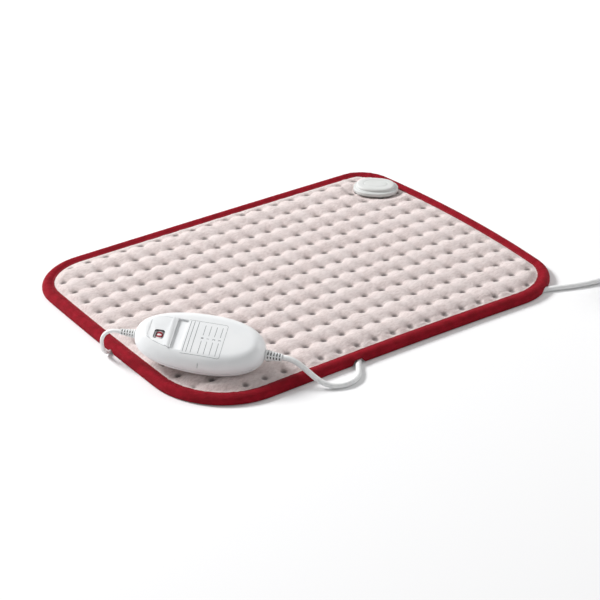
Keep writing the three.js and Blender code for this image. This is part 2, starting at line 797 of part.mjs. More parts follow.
// One half of the housing: its side leans in along a quarter of an ellipse
function half(lengthThere, widthThere, height, shoulder, start, crown, steps = 5) {
  const up = Math.sign(height);
  const rings = [];
  for (let k = 0; k <= steps; k += 1) {
    const angle = (Math.PI / 2) * (k / steps);
    const lean = shoulder * (1 - Math.cos(angle));
    const z = start + (height - start) * Math.sin(angle);
    rings.push(oval(lengthThere - lean, widthThere - lean, ovalPower, 32, eggShare).map(([x, y]) => [x, y, z]));
  }
  const tip = [0, 0, height + up * crown];
  if (up > 0) return solid(loft(rings, [0, 0, start], tip));
  return solid(loft(rings.reverse(), tip, [0, 0, start]));
}

const drumAxisZ = drumTop - drumRadius;
const rollerRadius = sliderTravel / degrees(rollerTurn);
const cheekFront = windowY - drumWidth / 2 - cheekGap;
const cheekRear = windowY + drumWidth / 2 + rollerWidth + cheekGap;
const screwPlaces = [[1, 1], [-1, 1], [-1, -1], [1, -1]].map(([sx, sy]) => [sx * screwX, sy * screwY]);

function reliefHole(side, diameter) {
  const hole = diameter * reliefNeckShare + 3 * gap;
  const from = halfLength - 4 * housingWall;
  const to = halfLength + overrun;
  return side > 0 ? alongX(from, to, hole, 0, 0) : alongX(-to, -from, hole, 0, 0);
}

const trackArea = (margin) => {
  const left = trackLeft + margin;
  const right = trackRight - margin;
  const area = prism(
    [[left, trackFront + margin], [right, trackFront + margin], [right, trackRear - margin], [left, trackRear - margin]],
    0, upperHeight + ridgeHeight + 2 * overrun,
  );
  const inset = trackInset + margin;
  const bound = prism(oval(halfLength - inset, halfWidth - inset, ovalPower, 40, eggShare), -overrun, upperHeight + 3 * overrun);
  return area.intersect(bound);
};

function upperHousing() {
  const outer = half(halfLength, halfWidth, upperHeight, upperShoulder, 0, upperCrown);
  const inner = half(
    halfLength - housingWall, halfWidth - housingWall,
    upperHeight - roofWall, upperShoulder, -overrun, 0,
  );
  const bosses = screwPlaces.map(([x, y]) => upright(x, y, bossDiameter, 0, upperHeight - roofWall + gap, 12));
  const trimmed = bosses.map((boss) => boss.intersect(outer));
  const bores = screwPlaces.map(([x, y]) => upright(x, y, screwDiameter + 2 * gap, -overrun, screwTip + gap, 10));
  const track = trackArea(0).intersect(box(-halfLength, halfLength, -halfWidth, halfWidth, trackFloor, 2 * upperHeight));
  // The drum and its cheeks travel in a slot with round ends, open only below the slider
  const outlineOfSlot = new THREE.Shape();
  outlineOfSlot.absarc(windowX, drumAxisZ, drumRadius + 1.5 * gap, Math.PI / 2, Math.PI);
  outlineOfSlot.absarc(windowX + sliderTravel, drumAxisZ, drumRadius + 1.5 * gap, 0, Math.PI / 2);
  const slotFront = cheekFront - cheekThickness - 2 * gap;
  const slotRear = cheekRear + cheekThickness + 2 * gap;
  const slot = solid(new THREE.ExtrudeGeometry(outlineOfSlot, {
    depth: slotRear - slotFront, bevelEnabled: false, curveSegments: 6,
  }).rotateX(Math.PI / 2).translate(0, slotRear, 0));
  const tick = (side) => box(
    tickX - tickWidth / 2, tickX + tickWidth / 2,
    side > 0 ? halfWidth - tickDepth : -halfWidth - overrun, side > 0 ? halfWidth + overrun : tickDepth - halfWidth,
    0.2 * upperHeight, 0.6 * upperHeight,
  );
  const body = join(cut(outer, inner), ...trimmed);
  return cut(
    body, ...bores, track, slot, tick(1), tick(-1),
    reliefHole(1, mainsReliefDiameter), reliefHole(-1, padReliefDiameter),
  );
}

function lowerHousing() {
  const outer = half(halfLength, halfWidth, -lowerHeight, lowerBelly, -gap, 0);
  const inner = half(
    halfLength - housingWall, halfWidth - housingWall,
    housingWall - lowerHeight, lowerBelly, overrun, 0,
  );
  const columns = screwPlaces.map(([x, y]) => upright(x, y, bossDiameter, -lowerHeight, -gap, 12).intersect(outer));
  const posts = [-1, 1].map((side) =>
    upright(side * postX, 0, postDiameter, -lowerHeight + gap, boardTop - boardThickness - gap, 10));
  const bores = screwPlaces.flatMap(([x, y]) => [
    upright(x, y, screwDiameter + 2 * gap, -lowerHeight - overrun, overrun, 10),
    upright(x, y, screwHeadDiameter + 2 * gap, -lowerHeight - overrun, screwHeadTop + gap, 12),
  ]);
  const body = join(cut(outer, inner), ...columns, ...posts);
  return cut(body, ...bores, reliefHole(1, mainsReliefDiameter), reliefHole(-1, padReliefDiameter));
}

function switchSlider() {
  const plateBottom = trackFloor + gap;
  const plateTop = plateBottom + plateThickness;
  const plateRight = trackRight - gap - sliderTravel;
  const plate = trackArea(gap).intersect(
    box(-halfLength, plateRight, -halfWidth, halfWidth, plateBottom, plateTop),
  );
  const ridge = solid(new THREE.ExtrudeGeometry(new THREE.Shape([
    new THREE.Vector2(plateRight - ridgeWidth, plateTop - gap),
    new THREE.Vector2(plateRight, plateTop - gap),
    new THREE.Vector2(plateRight - ridgeWidth + ridgeTopWidth + gap, plateTop + ridgeHeight),
    new THREE.Vector2(plateRight - ridgeWidth + gap, plateTop + ridgeHeight),
  ]), { depth: trackRear - trackFront - 2 * gap, bevelEnabled: false })
    .rotateX(Math.PI / 2).translate(0, trackRear - gap, 0)).intersect(trackArea(gap));
  const window = prism(
    roundedRectangle(windowLength / 2, windowWidth / 2, windowRound).map(([x, y]) => [x + windowX, y + windowY]),
    plateBottom - overrun, plateTop + overrun,
  );
  const relief = Math.sqrt(drumRadius ** 2 - (plateBottom - drumAxisZ - gap) ** 2);
  const drumRoom = box(
    windowX - relief - gap, windowX + relief + gap,
    cheekFront, cheekRear, 0, plateBottom + gap,
  );
  const cheek = (y0, bottom) => box(
    windowX - cheekWidth / 2, windowX + cheekWidth / 2, y0, y0 + cheekThickness, bottom, plateBottom + gap,
  );
  const axleBore = solid(
    new THREE.CylinderGeometry(axleDiameter / 2 + gap, axleDiameter / 2 + gap, 2 * halfWidth, 12)
      .translate(windowX, 0, drumAxisZ),
  );
  const frontCheek = cheek(cheekFront - cheekThickness, drumAxisZ - cheekWidth / 2);
  const rearCheek = cheek(cheekRear, wiperTop + gap);
  return cut(join(plate, ridge, frontCheek, rearCheek), window, drumRoom, axleBore);
}

const wiperTop = 0;
const wiperThickness = 0.5;
const stripThickness = 0.4;
const stripTop = boardTop + gap + stripThickness;

function digitDrum() {
  const front = windowY - drumWidth / 2;
  const rear = windowY + drumWidth / 2;
  const axle = axleDiameter / 2;
  const profile = [
    [0, cheekFront - cheekThickness - gap], [axle, cheekFront - cheekThickness - gap], [axle, front],
    [drumRadius, front], [drumRadius, rear], [rollerRadius, rear], [rollerRadius, rear + rollerWidth],
    [axle, rear + rollerWidth], [axle, cheekRear + cheekThickness + gap], [0, cheekRear + cheekThickness + gap],
  ];
  const geometry = new THREE.LatheGeometry(profile.map(([r, y]) => new THREE.Vector2(r, y)), 20);
  return solid(geometry.translate(windowX, 0, drumAxisZ));
}

function drumRail() {
  const railBottom = boardTop + gap;
  const left = windowX - ridgeWidth / 2;
  const right = windowX + sliderTravel + ridgeWidth / 2;
  const face = windowY + drumWidth / 2 + 1.5 * gap;
  const rib = box(left, right, face, face + railWidth, railBottom, drumAxisZ - rollerRadius - gap);
  const foot = box(left, right, face + railWidth - railFootWidth, face + railWidth, railBottom, railBottom + railFootHeight);
  return join(rib, foot);
}

// The wiper's foot slides on the contact strip
function contactWiper() {
  const y0 = cheekRear;
  const foot = stripTop + gap;
  const shape = new THREE.Shape([
    [-cheekWidth / 2, wiperTop], [-cheekWidth / 2, wiperTop - wiperThickness],
    [-cheekWidth / 4, wiperTop - wiperThickness], [-wiperThickness, foot], [wiperThickness, foot],
    [cheekWidth / 4, wiperTop - wiperThickness], [cheekWidth / 2, wiperTop - wiperThickness], [cheekWidth / 2, wiperTop],
  ].map(([x, z]) => new THREE.Vector2(windowX + x, z)));
  const geometry = new THREE.ExtrudeGeometry(shape, { depth: cheekThickness, bevelEnabled: false });
  return solid(geometry.rotateX(Math.PI / 2).translate(0, y0 + cheekThickness, 0));
}

function circuitBoard() {
  const board = prism(roundedRectangle(boardLength / 2, boardWidth / 2, boardRound), boardTop - boardThickness, boardTop);
  return board;
}

function strainRelief(side, diameter, tip, length) {
  const radius = diameter / 2;
  const neck = radius * reliefNeckShare;
  const wallIn = halfLength - 3 * housingWall;
  const start = halfLength + gap;
  const profile = [
    [0, wallIn - reliefFlangeLength], [neck + reliefFlange, wallIn - reliefFlangeLength],
    [neck + reliefFlange, wallIn], [neck, wallIn], [neck, start],
  ];
  const pitch = (length - gap) / (reliefRibs + 0.5);
  for (let k = 0; k < reliefRibs; k += 1) {
    const x = start + k * pitch;
    const outer = radius + ((tip / 2 - radius) * k) / reliefRibs;
    profile.push([outer, x], [outer, x + pitch * (1 - reliefGrooveShare)]);
    profile.push([outer - reliefGrooveDepth, x + pitch * (1 - reliefGrooveShare)], [outer - reliefGrooveDepth, x + pitch]);
  }
  profile.push([tip / 2, start + reliefRibs * pitch], [tip / 2, halfLength + length], [0, halfLength + length]);
  const geometry = new THREE.LatheGeometry(profile.map(([r, x]) => new THREE.Vector2(r, x)), 10);
  return solid(geometry.rotateZ(side > 0 ? -Math.PI / 2 : Math.PI / 2));
}

add(controller, "upper_housing", upperHousing(), whiteShell);
add(controller, "lower_housing", lowerHousing(), whiteShell);
add(controller, "switch_slider", switchSlider(), whiteShell);
add(controller, "digit_drum", digitDrum(), greyWhiteShell);
add(controller, "drum_rail", drumRail(), blackPlastic);
add(controller, "contact_wiper", contactWiper(), copper);
add(controller, "contact_strip", box(
  windowX - cheekWidth, windowX + cheekWidth + sliderTravel,
  cheekRear, cheekRear + cheekThickness, boardTop + gap, stripTop,
), copper);
add(controller, "circuit_board", circuitBoard(), boardGreen);
add(controller, "pad_lead_strain_relief", strainRelief(-1, padReliefDiameter, padReliefTip, padReliefLength), leadGrey);
add(controller, "mains_strain_relief", strainRelief(1, mainsReliefDiameter, mainsReliefTip, mainsReliefLength), leadGrey);

screwPlaces.forEach(([x, y], k) => {
  const head = upright(x, y, screwHeadDiameter, screwHeadTop - screwHeadHeight, screwHeadTop, 12);
  const shank = upright(x, y, screwDiameter, screwHeadTop - gap, screwTip, 10);
  add(controller, `housing_screw_${k + 1}`, join(head, shank), steel);
});

// Parts that stand on the circuit board
const standing = boardTop + gap;
const terminalX = boardLength / 2 - terminalLength - gap;
const capacitorX = terminalX - capacitorRoom - filmCapacitorLength;
add(controller, "glass_fuse", alongX(
  -fuseLength / 2, fuseLength / 2, fuseDiameter, boardWidth / 2 - fuseDiameter, standing + fuseDiameter / 2, 12,
), steel);
add(controller, "film_capacitor", box(
  capacitorX, capacitorX + filmCapacitorLength,
  -filmCapacitorWidth - gap, -gap, standing, standing + filmCapacitorHeight,
), finish(0xb8433a, 0.5));
add(controller, "electrolytic_capacitor", upright(
  capacitorX + filmCapacitorLength / 2, electrolyticDiameter / 2 + gap, electrolyticDiameter,
  standing, standing + electrolyticHeight, 14,
), blackPlastic);
add(controller, "triac", join(
  box(0, triacWidth, -boardWidth / 4 - triacThickness, -boardWidth / 4, standing, standing + triacHeight),
  box(0, triacWidth, -boardWidth / 4 - triacThickness / 3, -boardWidth / 4, standing, standing + triacHeight + triacTabHeight),
), blackPlastic);
add(controller, "controller_chip", box(
  0, chipLength, -boardWidth / 4 + 2 * gap, -boardWidth / 4 + 2 * gap + chipWidth, standing, standing + chipHeight,
), blackPlastic);
add(controller, "mains_terminal", box(
  terminalX, terminalX + terminalLength,
  -terminalWidth / 2, terminalWidth / 2, standing, standing + terminalHeight,
), greyWhiteShell);
add(controller, "pad_terminal", box(
  -boardLength / 2 + gap, -boardLength / 2 + gap + terminalLength / 2,
  terminalWidth / 2 - 2, terminalWidth, standing, standing + terminalHeight / 2,
), greyWhiteShell);
add(controller, "indicator_lamp", upright(
  windowX + drumRadius + sliderTravel + lampDiameter, windowY - drumWidth / 4, lampDiameter,
  standing, standing + lampHeight, 12,
), finish(0xe9b0a8, 0.3));

// Leads

const padLeadStep = 2.6 * padLeadDiameter;
const mainsLeadStep = 2.2 * mainsLeadDiameter;
add(root, "pad_lead", solid(tube(padLeadRoute, padLeadDiameter, padLeadSides, padLeadStep)), leadGrey);
add(root, "mains_lead", solid(tube(mainsLeadRoute, mainsLeadDiameter, mainsLeadSides, mainsLeadStep)), leadGrey);
add(root, "mains_lead_tail", solid(tube(mainsTailRoute, mainsLeadDiameter, mainsLeadSides, mainsLeadStep)), leadGrey);

// The coil lies on the tie that is wrapped round it
const coilFirstZ = tieThickness + gap + mainsLeadDiameter / 2;

// Centre line of the coil: out and in at a steady rate, a layer up in the half turn where it reverses
function coilPoint(turn) {
  const phase = turn / turnsPerLayer;
  const layer = Math.floor(phase + 1e-9);
  const within = phase - layer;
  const outwardShare = layer % 2 === 0 ? 1 - within : within;
  const radius = coilInnerRadius + turnsPerLayer * coilPitch * outwardShare;
  const climb = (edge) => {
    const t = Math.min(Math.max((turn - edge) / 0.5 + 0.5, 0), 1);
    return t * t * (3 - 2 * t);
  };
  let level = 0;
  for (let k = 1; k < coilLayers; k += 1) level += climb(k * turnsPerLayer);
  const angle = degrees(coilStartAngle) - 2 * Math.PI * turn;
  return new THREE.Vector3(
    coilCentreX + radius * Math.cos(angle),
    coilCentreY + radius * Math.sin(angle),
    coilFirstZ + level * coilPitch,
  );
}

function coil() {
  const turns = coilLayers * turnsPerLayer;
  const count = turns * coilStepsPerTurn;
  const centres = Array.from({ length: count + 1 }, (_, i) => coilPoint((i * turns) / count));
  const rings = centres.map((centre, i) => {
    const before = centres[Math.max(i - 1, 0)];
    const after = centres[Math.min(i + 1, count)];
    const tangent = after.clone().sub(before).normalize();
    const side = new THREE.Vector3(-tangent.y, tangent.x, 0).normalize();
    const over = tangent.clone().cross(side);
    return Array.from({ length: coilSides }, (_, k) => {
      const angle = (2 * Math.PI * (k + 0.5)) / coilSides;
      const p = centre.clone();
      p.addScaledVector(side, (mainsLeadDiameter / 2) * Math.cos(angle));
      p.addScaledVector(over, (mainsLeadDiameter / 2) * Math.sin(angle));
      return [p.x, p.y, p.z];
    });
  });
  return { centres, geometry: loft(rings, centres[0].toArray(), centres[count].toArray()) };
}

const wound = coil();
add(root, "mains_lead_coil", solid(wound.geometry), leadGrey);

// The least distance between turns, less the lead's own thickness
function leastGap(centres) {
  let least = Infinity;
  const apart = Math.round(coilStepsPerTurn / 2);
  for (let i = 0; i < centres.length; i += 1) {
    for (let j = i + apart; j < centres.length; j += 1) {
      least = Math.min(least, centres[i].distanceTo(centres[j]));
    }
  }
  return least - mainsLeadDiameter;
}

const lengthOf = (points) => points.slice(1).reduce((sum, p, i) => sum + p.distanceTo(points[i]), 0);
const mainsLength = curveOf(mainsLeadRoute).getLength() + lengthOf(wound.centres) + curveOf(mainsTailRoute).getLength();
console.log(`least gap between the coil's turns ${leastGap(wound.centres).toFixed(2)} mm`);
console.log(`mains lead ${mainsLength.toFixed(0)} mm, pad lead ${curveOf(padLeadRoute).getLength().toFixed(0)} mm`);

function coilTie() {
  const half = mainsLeadDiameter / 2 + gap;
  const near = coilInnerRadius - half;
  const far = coilInnerRadius + turnsPerLayer * coilPitch + half + gap;
  const top = coilFirstZ + (coilLayers - 1) * coilPitch + half;
  const outer = box(near - tieThickness, far + tieThickness, -tieWidth / 2, tieWidth / 2, 0, top + tieThickness);
  const inner = box(near, far, -tieWidth, tieWidth, tieThickness, top);
  return cut(outer, inner).rotate([0, 0, tieAngle]).translate([coilCentreX, coilCentreY, 0]);
}

add(root, "coil_tie", coilTie(), greyWhiteShell);

// Plug

function plugBody() {
  const zMiddle = plugHeight / 2;
  const half = plugWidth / 2;
  const neck = plugNeckWidth / 2;
  const shoulder = plugLength / 3;
  const front = plugBackX + plugLength;
  const body = prism([
    [plugBackX, -neck], [plugBackX + shoulder, -half], [front, -half],
    [front, half], [plugBackX + shoulder, half], [plugBackX, neck],
  ], 0, plugHeight).translate([0, plugAxisY, 0]);
  const sleeveTip = mainsLeadDiameter + 2 * gap;
  const sleeve = solid(new THREE.CylinderGeometry(
    plugSleeveDiameter / 2, sleeveTip / 2 + gap, plugSleeveLength + overrun, 14,
  ).rotateZ(-Math.PI / 2).translate(plugBackX - plugSleeveLength / 2 + overrun / 2, plugAxisY, zMiddle));
  const seats = [-1, 1].map((side) =>
    alongX(front - pinSeatDepth, front + overrun, pinDiameter + 2 * gap, plugAxisY + (side * pinSpacing) / 2, zMiddle, 12));
  return cut(join(body, sleeve), ...seats);
}

add(root, "plug_body", plugBody(), leadGrey);
[-1, 1].forEach((side, k) => {
  const front = plugBackX + plugLength;
  const pin = alongX(
    front - pinSeatDepth + gap, front + pinLength, pinDiameter,
    plugAxisY + (side * pinSpacing) / 2, plugHeight / 2, 12,
  );
  add(root, `plug_pin_${k + 1}`, pin, steel);
});

export default root;
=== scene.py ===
import math
from contextlib import contextmanager

import bmesh
import bpy
import numpy as np
from mathutils import Matrix, Vector
from mathutils.bvhtree import BVHTree


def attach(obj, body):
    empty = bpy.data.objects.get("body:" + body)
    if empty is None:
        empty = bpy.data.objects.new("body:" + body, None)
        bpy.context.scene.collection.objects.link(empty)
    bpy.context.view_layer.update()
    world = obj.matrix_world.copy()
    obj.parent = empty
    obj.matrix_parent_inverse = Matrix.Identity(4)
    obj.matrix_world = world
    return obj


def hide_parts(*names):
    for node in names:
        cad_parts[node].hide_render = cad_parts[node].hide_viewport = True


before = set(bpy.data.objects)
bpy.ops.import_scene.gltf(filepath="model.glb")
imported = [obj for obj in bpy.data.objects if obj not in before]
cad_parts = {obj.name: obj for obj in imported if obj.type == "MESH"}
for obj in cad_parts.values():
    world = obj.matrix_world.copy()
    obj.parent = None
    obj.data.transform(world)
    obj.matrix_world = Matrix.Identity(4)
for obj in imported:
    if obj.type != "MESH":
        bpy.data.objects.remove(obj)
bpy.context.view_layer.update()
scene = bpy.context.scene
scene.view_settings.view_transform = "Standard"

# The camera looks down on the pad's front left corner, where the controller lies.
# It stands far off with a long lens, so that the pad's long sides stay nearly parallel.
camera_data = bpy.data.cameras.new("photo_camera")
camera_data.lens = 118.06
camera_data.sensor_width = 36
camera_data.clip_end = 20
camera = bpy.data.objects.new("photo_camera", camera_data)
scene.collection.objects.link(camera)
camera_right = Vector((0.82685, -0.5623, -0.01174))
camera_up = Vector((0.27731, 0.38944, 0.87831))
camera_back = Vector((-0.4893, -0.72949, 0.47794))
turn = Matrix((camera_right, camera_up, camera_back)).transposed().to_4x4()
camera.matrix_world = Matrix.Translation((-0.9518, -1.4244, 0.9114)) @ turn
scene.camera = camera


# The pad's lead: round PVC-sheathed cable in pale grey, from the controller over the binding to the floor,
# then under the pad to the coupling. Its sheath is the mains lead's too.
class Socket:
    """An output of a material's node, which can be added, multiplied and compared as a value."""

    def __init__(self, tree, output=None):
        self.tree = tree
        self.output = output

    def node(self, kind, settings=None, links=None, take=0):
        """Adds a node: its settings first, then a value or another Socket for each of its inputs."""
        made = self.tree.nodes.new(kind)
        for name, value in (settings or {}).items():
            if name == "stops":
                ramp = made.color_ramp
                while len(ramp.elements) < len(value):
                    ramp.elements.new(0.5)
                for element, (place, colour) in zip(ramp.elements, value):
                    element.position = place
                    element.color = (*colour, 1)
            else:
                setattr(made, name, value)
        for name, value in (links or {}).items():
            if isinstance(value, Socket):
                self.tree.links.new(value.output, made.inputs[name])
            else:
                made.inputs[name].default_value = value
        return Socket(self.tree, made.outputs[take])

    def maths(self, operation, *values):
        return self.node("ShaderNodeMath", {"operation": operation}, dict(enumerate(values)))

    def __add__(self, other):
        return self.maths("ADD", self, other)

    def __radd__(self, other):
        return self.maths("ADD", other, self)

    def __sub__(self, other):
        return self.maths("SUBTRACT", self, other)

    def __rsub__(self, other):
        return self.maths("SUBTRACT", other, self)

    def __mul__(self, other):
        return self.maths("MULTIPLY", self, other)

    def __rmul__(self, other):
        return self.maths("MULTIPLY", other, self)

    def __truediv__(self, other):
        return self.maths("DIVIDE", self, other)

    def __pow__(self, other):
        return self.maths("POWER", self, other)

    def most(self, other):
        return self.maths("MAXIMUM", self, other)

    def wave(self, rate):
        return self.maths("SINE", self * rate)

    def rise(self, low, high):
        """0 below low, 1 above high, and smooth between them."""
        return self.node(
            "ShaderNodeMapRange", {"interpolation_type": "SMOOTHSTEP"},
            {"Value": self, "From Min": low, "From Max": high},
        )


def colour_mix(share, first, second):
    """The first colour where share is 0 and the second where it is 1."""
    four = [c if isinstance(c, Socket) else (*c, 1) for c in (first, second)]
    return share.node("ShaderNodeMix", {"data_type": "RGBA"}, {0: share, 6: four[0], 7: four[1]}, 2)


def new_material(name, roughness, coat=0.0, sheen=0.0, metallic=0.0):
    """A material, a Socket that its other nodes start from, and its Object coordinates."""
    material = bpy.data.materials.new(name)
    material.use_nodes = True
    tree = material.node_tree
    shader = tree.nodes["Principled BSDF"]
    shader.inputs["Roughness"].default_value = roughness
    shader.inputs["Coat Weight"].default_value = coat
    shader.inputs["Coat Roughness"].default_value = 0.25
    shader.inputs["Sheen Weight"].default_value = sheen
    shader.inputs["Metallic"].default_value = metallic
    start = Socket(tree)
    place = start.node("ShaderNodeTexCoord", take="Object")
    return material, start, place


def dress(material, colour=None, bump=None, depth=0.0001, roughness=None):
    """Joins a colour, a height for the bump and a roughness to the material's shader."""
    tree = material.node_tree
    shader = tree.nodes["Principled BSDF"]
    if isinstance(colour, Socket):
        tree.links.new(colour.output, shader.inputs["Base Color"])
    elif colour:
        shader.inputs["Base Color"].default_value = (*colour, 1)
    if roughness:
        tree.links.new(roughness.output, shader.inputs["Roughness"])
    if bump:
        normal = bump.node("ShaderNodeBump", None, {"Height": bump, "Distance": depth, "Strength": 1.0})
        tree.links.new(normal.output, shader.inputs["Normal"])


def grain(place, scale, detail=2.0, **more):
    """Noise between 0 and 1 over the piece."""
    return place.node("ShaderNodeTexNoise", None, {"Vector": place, "Scale": scale, "Detail": detail, **more})


def near_tones(mottle, dark, light):
    """A colour that wanders between two near tones."""
    return colour_mix(mottle.rise(0.3, 0.7), dark, light)


def smooth_route(points, step):
    """The points of a smooth line through the given ones, at even steps."""
    p = np.array(points, float)
    p = np.vstack([2 * p[0] - p[1], p, 2 * p[-1] - p[-2]])
    knots = np.concatenate([[0], np.cumsum(np.linalg.norm(np.diff(p, axis=0), axis=1) ** 0.5)])
    dense = []
    for i in range(1, len(p) - 2):
        t = np.linspace(knots[i], knots[i + 1], 40, endpoint=False)[:, None]
        t0, t1, t2, t3 = knots[i - 1:i + 3]
        a1 = (t1 - t) / (t1 - t0) * p[i - 1] + (t - t0) / (t1 - t0) * p[i]
        a2 = (t2 - t) / (t2 - t1) * p[i] + (t - t1) / (t2 - t1) * p[i + 1]
        a3 = (t3 - t) / (t3 - t2) * p[i + 1] + (t - t2) / (t3 - t2) * p[i + 2]
        b1 = (t2 - t) / (t2 - t0) * a1 + (t - t0) / (t2 - t0) * a2
        b2 = (t3 - t) / (t3 - t1) * a2 + (t - t1) / (t3 - t1) * a3
        dense.append((t2 - t) / (t2 - t1) * b1 + (t - t1) / (t2 - t1) * b2)
    dense = np.vstack([*dense, p[-2]])
    run = np.concatenate([[0], np.cumsum(np.linalg.norm(np.diff(dense, axis=0), axis=1))])
    even = np.linspace(0, run[-1], int(run[-1] / step) + 1)
    return np.stack([np.interp(even, run, dense[:, k]) for k in range(3)], 1)


def lay_cable(name, points, diameter):
    """A round cable along the points, as a curve."""
    curve = bpy.data.curves.new(name, "CURVE")
    curve.dimensions = "3D"
    curve.bevel_depth = diameter / 2
    curve.bevel_resolution = 5
    curve.use_fill_caps = True
    spline = curve.splines.new("POLY")
    spline.points.add(len(points) - 1)
    for point, where in zip(spline.points, points):
        point.co = (*where, 1)
    cable = bpy.data.objects.new(name, curve)
    scene.collection.objects.link(cable)
    return cable


sheath, _, place = new_material("lead_sheath", 0.42, coat=0.15)
mottle = grain(place, 260, 3)
scuff = grain(place, 1900, 2)
tone = colour_mix(mottle.rise(0.35, 0.7), (0.80, 0.81, 0.81), (0.87, 0.875, 0.87))
dress(sheath, tone, scuff + mottle * 0.6, 0.00006, 0.36 + 0.16 * mottle)

pad_lead_diameter = 0.0036
pad_lead_route = np.array([
    (-221.9, -42.9, 35.9), (-224.6, -40.1, 36.2), (-227.4, -37, 35.7), (-230.2, -33.6, 33.6),
    (-232, -30.4, 30), (-232.6, -27.4, 24.8), (-231.8, -24.6, 19), (-230.2, -22.1, 13),
    (-228, -20, 7.6), (-224.6, -18.4, 3.4), (-220, -16.9, 1.9), (-214, -15.3, 1.8),
    (-195, -10.9, 1.8), (-165, -5.7, 1.8), (-130, -1.2, 1.8), (-85, 4.8, 1.8),
    (-35, 12.5, 1.8), (15, 23.3, 1.8), (60, 36.6, 1.8), (95, 50, 1.8), (118, 60.8, 1.8),
    (133, 69.4, 1.8), (143, 75.8, 1.8), (150.4, 82.9, 1.8), (157.7, 90.2, 1.8),
]) / 1000
pad_lead = lay_cable("pad_lead_cable", smooth_route(pad_lead_route, 0.0015), pad_lead_diameter)
pad_lead.data.materials.append(sheath)
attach(pad_lead, "pad_and_controller")
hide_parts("pad_lead")

# The quilted top: soft pale pink fleece over wadding, tacked through to the backing at a grid of points.
# The wadding swells between the tacks, so the cloth is simulated as it is pushed up from below.
pad_size = (0.4237, 0.3333)
pad_shift = (-0.0054, -0.0035)
pad_corners = (((1, 1), 0, 0.0315), ((-1, 1), 90, 0.0575), ((-1, -1), 180, 0.0760), ((1, -1), 270, 0.0545))


def pad_outline(corner_steps=24, side_steps=48):
    """The pad's rim, counter-clockwise from its right side: four corners and four slightly bowed sides."""
    half = np.array(pad_size) / 2
    corners = []
    for signs, start, radius in pad_corners:
        angle = np.radians(np.linspace(start, start + 90, corner_steps))
        centre = np.array(signs) * (half - radius)
        corners.append(centre + radius * np.stack([np.cos(angle), np.sin(angle)], 1))
    points = []
    for corner, following in zip(corners, corners[1:] + corners[:1]):
        points.append(corner)
        share = np.linspace(0, 1, side_steps + 2)[1:-1, None]
        points.append(corner[-1] + (following[0] - corner[-1]) * share)
    points = np.vstack(points)
    u, v = (points / half).T
    right, left = np.clip(u, 0, None) ** 4, np.clip(-u, 0, None) ** 4
    rear, front = np.clip(v, 0, None) ** 4, np.clip(-v, 0, None) ** 4
    bow_x = right * (0.0125 * (1 - v * v) - 0.0034 * v) - left * (0.0028 * (1 - v * v) + 0.0018 * v)
    bow_y = rear * (0.0012 * (1 - u * u) + 0.0021 * u) + front * (0.0035 * (1 - u * u) + 0.0022 * u)
    return points + np.stack([bow_x, bow_y], 1) + np.array(pad_shift)


rim = pad_outline()


def depth_inside(points, loop):
    """How far each point lies inside a closed loop, less than 0 outside it."""
    nearest = np.full(len(points), 1e9)
    inside = np.zeros(len(points), bool)
    x, y = points[:, 0], points[:, 1]
    for (ax, ay), (bx, by) in zip(loop, np.roll(loop, -1, 0)):
        ex, ey = bx - ax, by - ay
        t = np.clip(((x - ax) * ex + (y - ay) * ey) / (ex * ex + ey * ey), 0, 1)
        nearest = np.minimum(nearest, np.hypot(x - ax - t * ex, y - ay - t * ey))
        if ay != by:
            inside ^= ((ay > y) != (by > y)) & (x < ax + (y - ay) * ex / (by - ay))
    return np.where(inside, nearest, -nearest)


def piece_from(name, points, faces):
    """A new piece from its points and its faces."""
    mesh = bpy.data.meshes.new(name)
    mesh.from_pydata([tuple(p) for p in points], [], [list(f) for f in faces])
    mesh.update()
    piece = bpy.data.objects.new(name, mesh)
    scene.collection.objects.link(piece)
    return piece


def select_only(piece):
    bpy.ops.object.select_all(action="DESELECT")
    bpy.context.view_layer.objects.active = piece
    piece.select_set(True)


def apply_all(piece):
    select_only(piece)
    for modifier in list(piece.modifiers):
        bpy.ops.object.modifier_apply(modifier=modifier.name)


coupling_middle = (0.1745, 0.107)
coupling_turn = math.radians(-45)
coupling_power = 2.3
neck_reach = (0.018, 0.012)


def on_coupling(points):
    """The points' places along and across the coupling, from its middle."""
    x, y = points[:, 0] - coupling_middle[0], points[:, 1] - coupling_middle[1]
    along = x * math.cos(coupling_turn) + y * math.sin(coupling_turn)
    across = y * math.cos(coupling_turn) - x * math.sin(coupling_turn)
    return along, across


def coupling_oval(points, half_length, half_width):
    """Less than 1 inside an oval of this reach round the coupling's middle, and more outside it."""
    along, across = on_coupling(points)
    return np.abs(along / half_length) ** coupling_power + np.abs(across / half_width) ** coupling_power


tack_pitch = (0.02039, 0.02415)
first_tack = (-0.1962, 0.1412)
tack_columns, tack_rows = 20, 13
cells = 8


def tack_lines(first, pitch, count):
    """Even steps over all the tacks, drawn closer together beside each tack."""
    steps = np.arange(-cells, count * cells + 1) / cells
    return first + pitch * (steps - 0.075 * np.sin(2 * math.pi * steps))


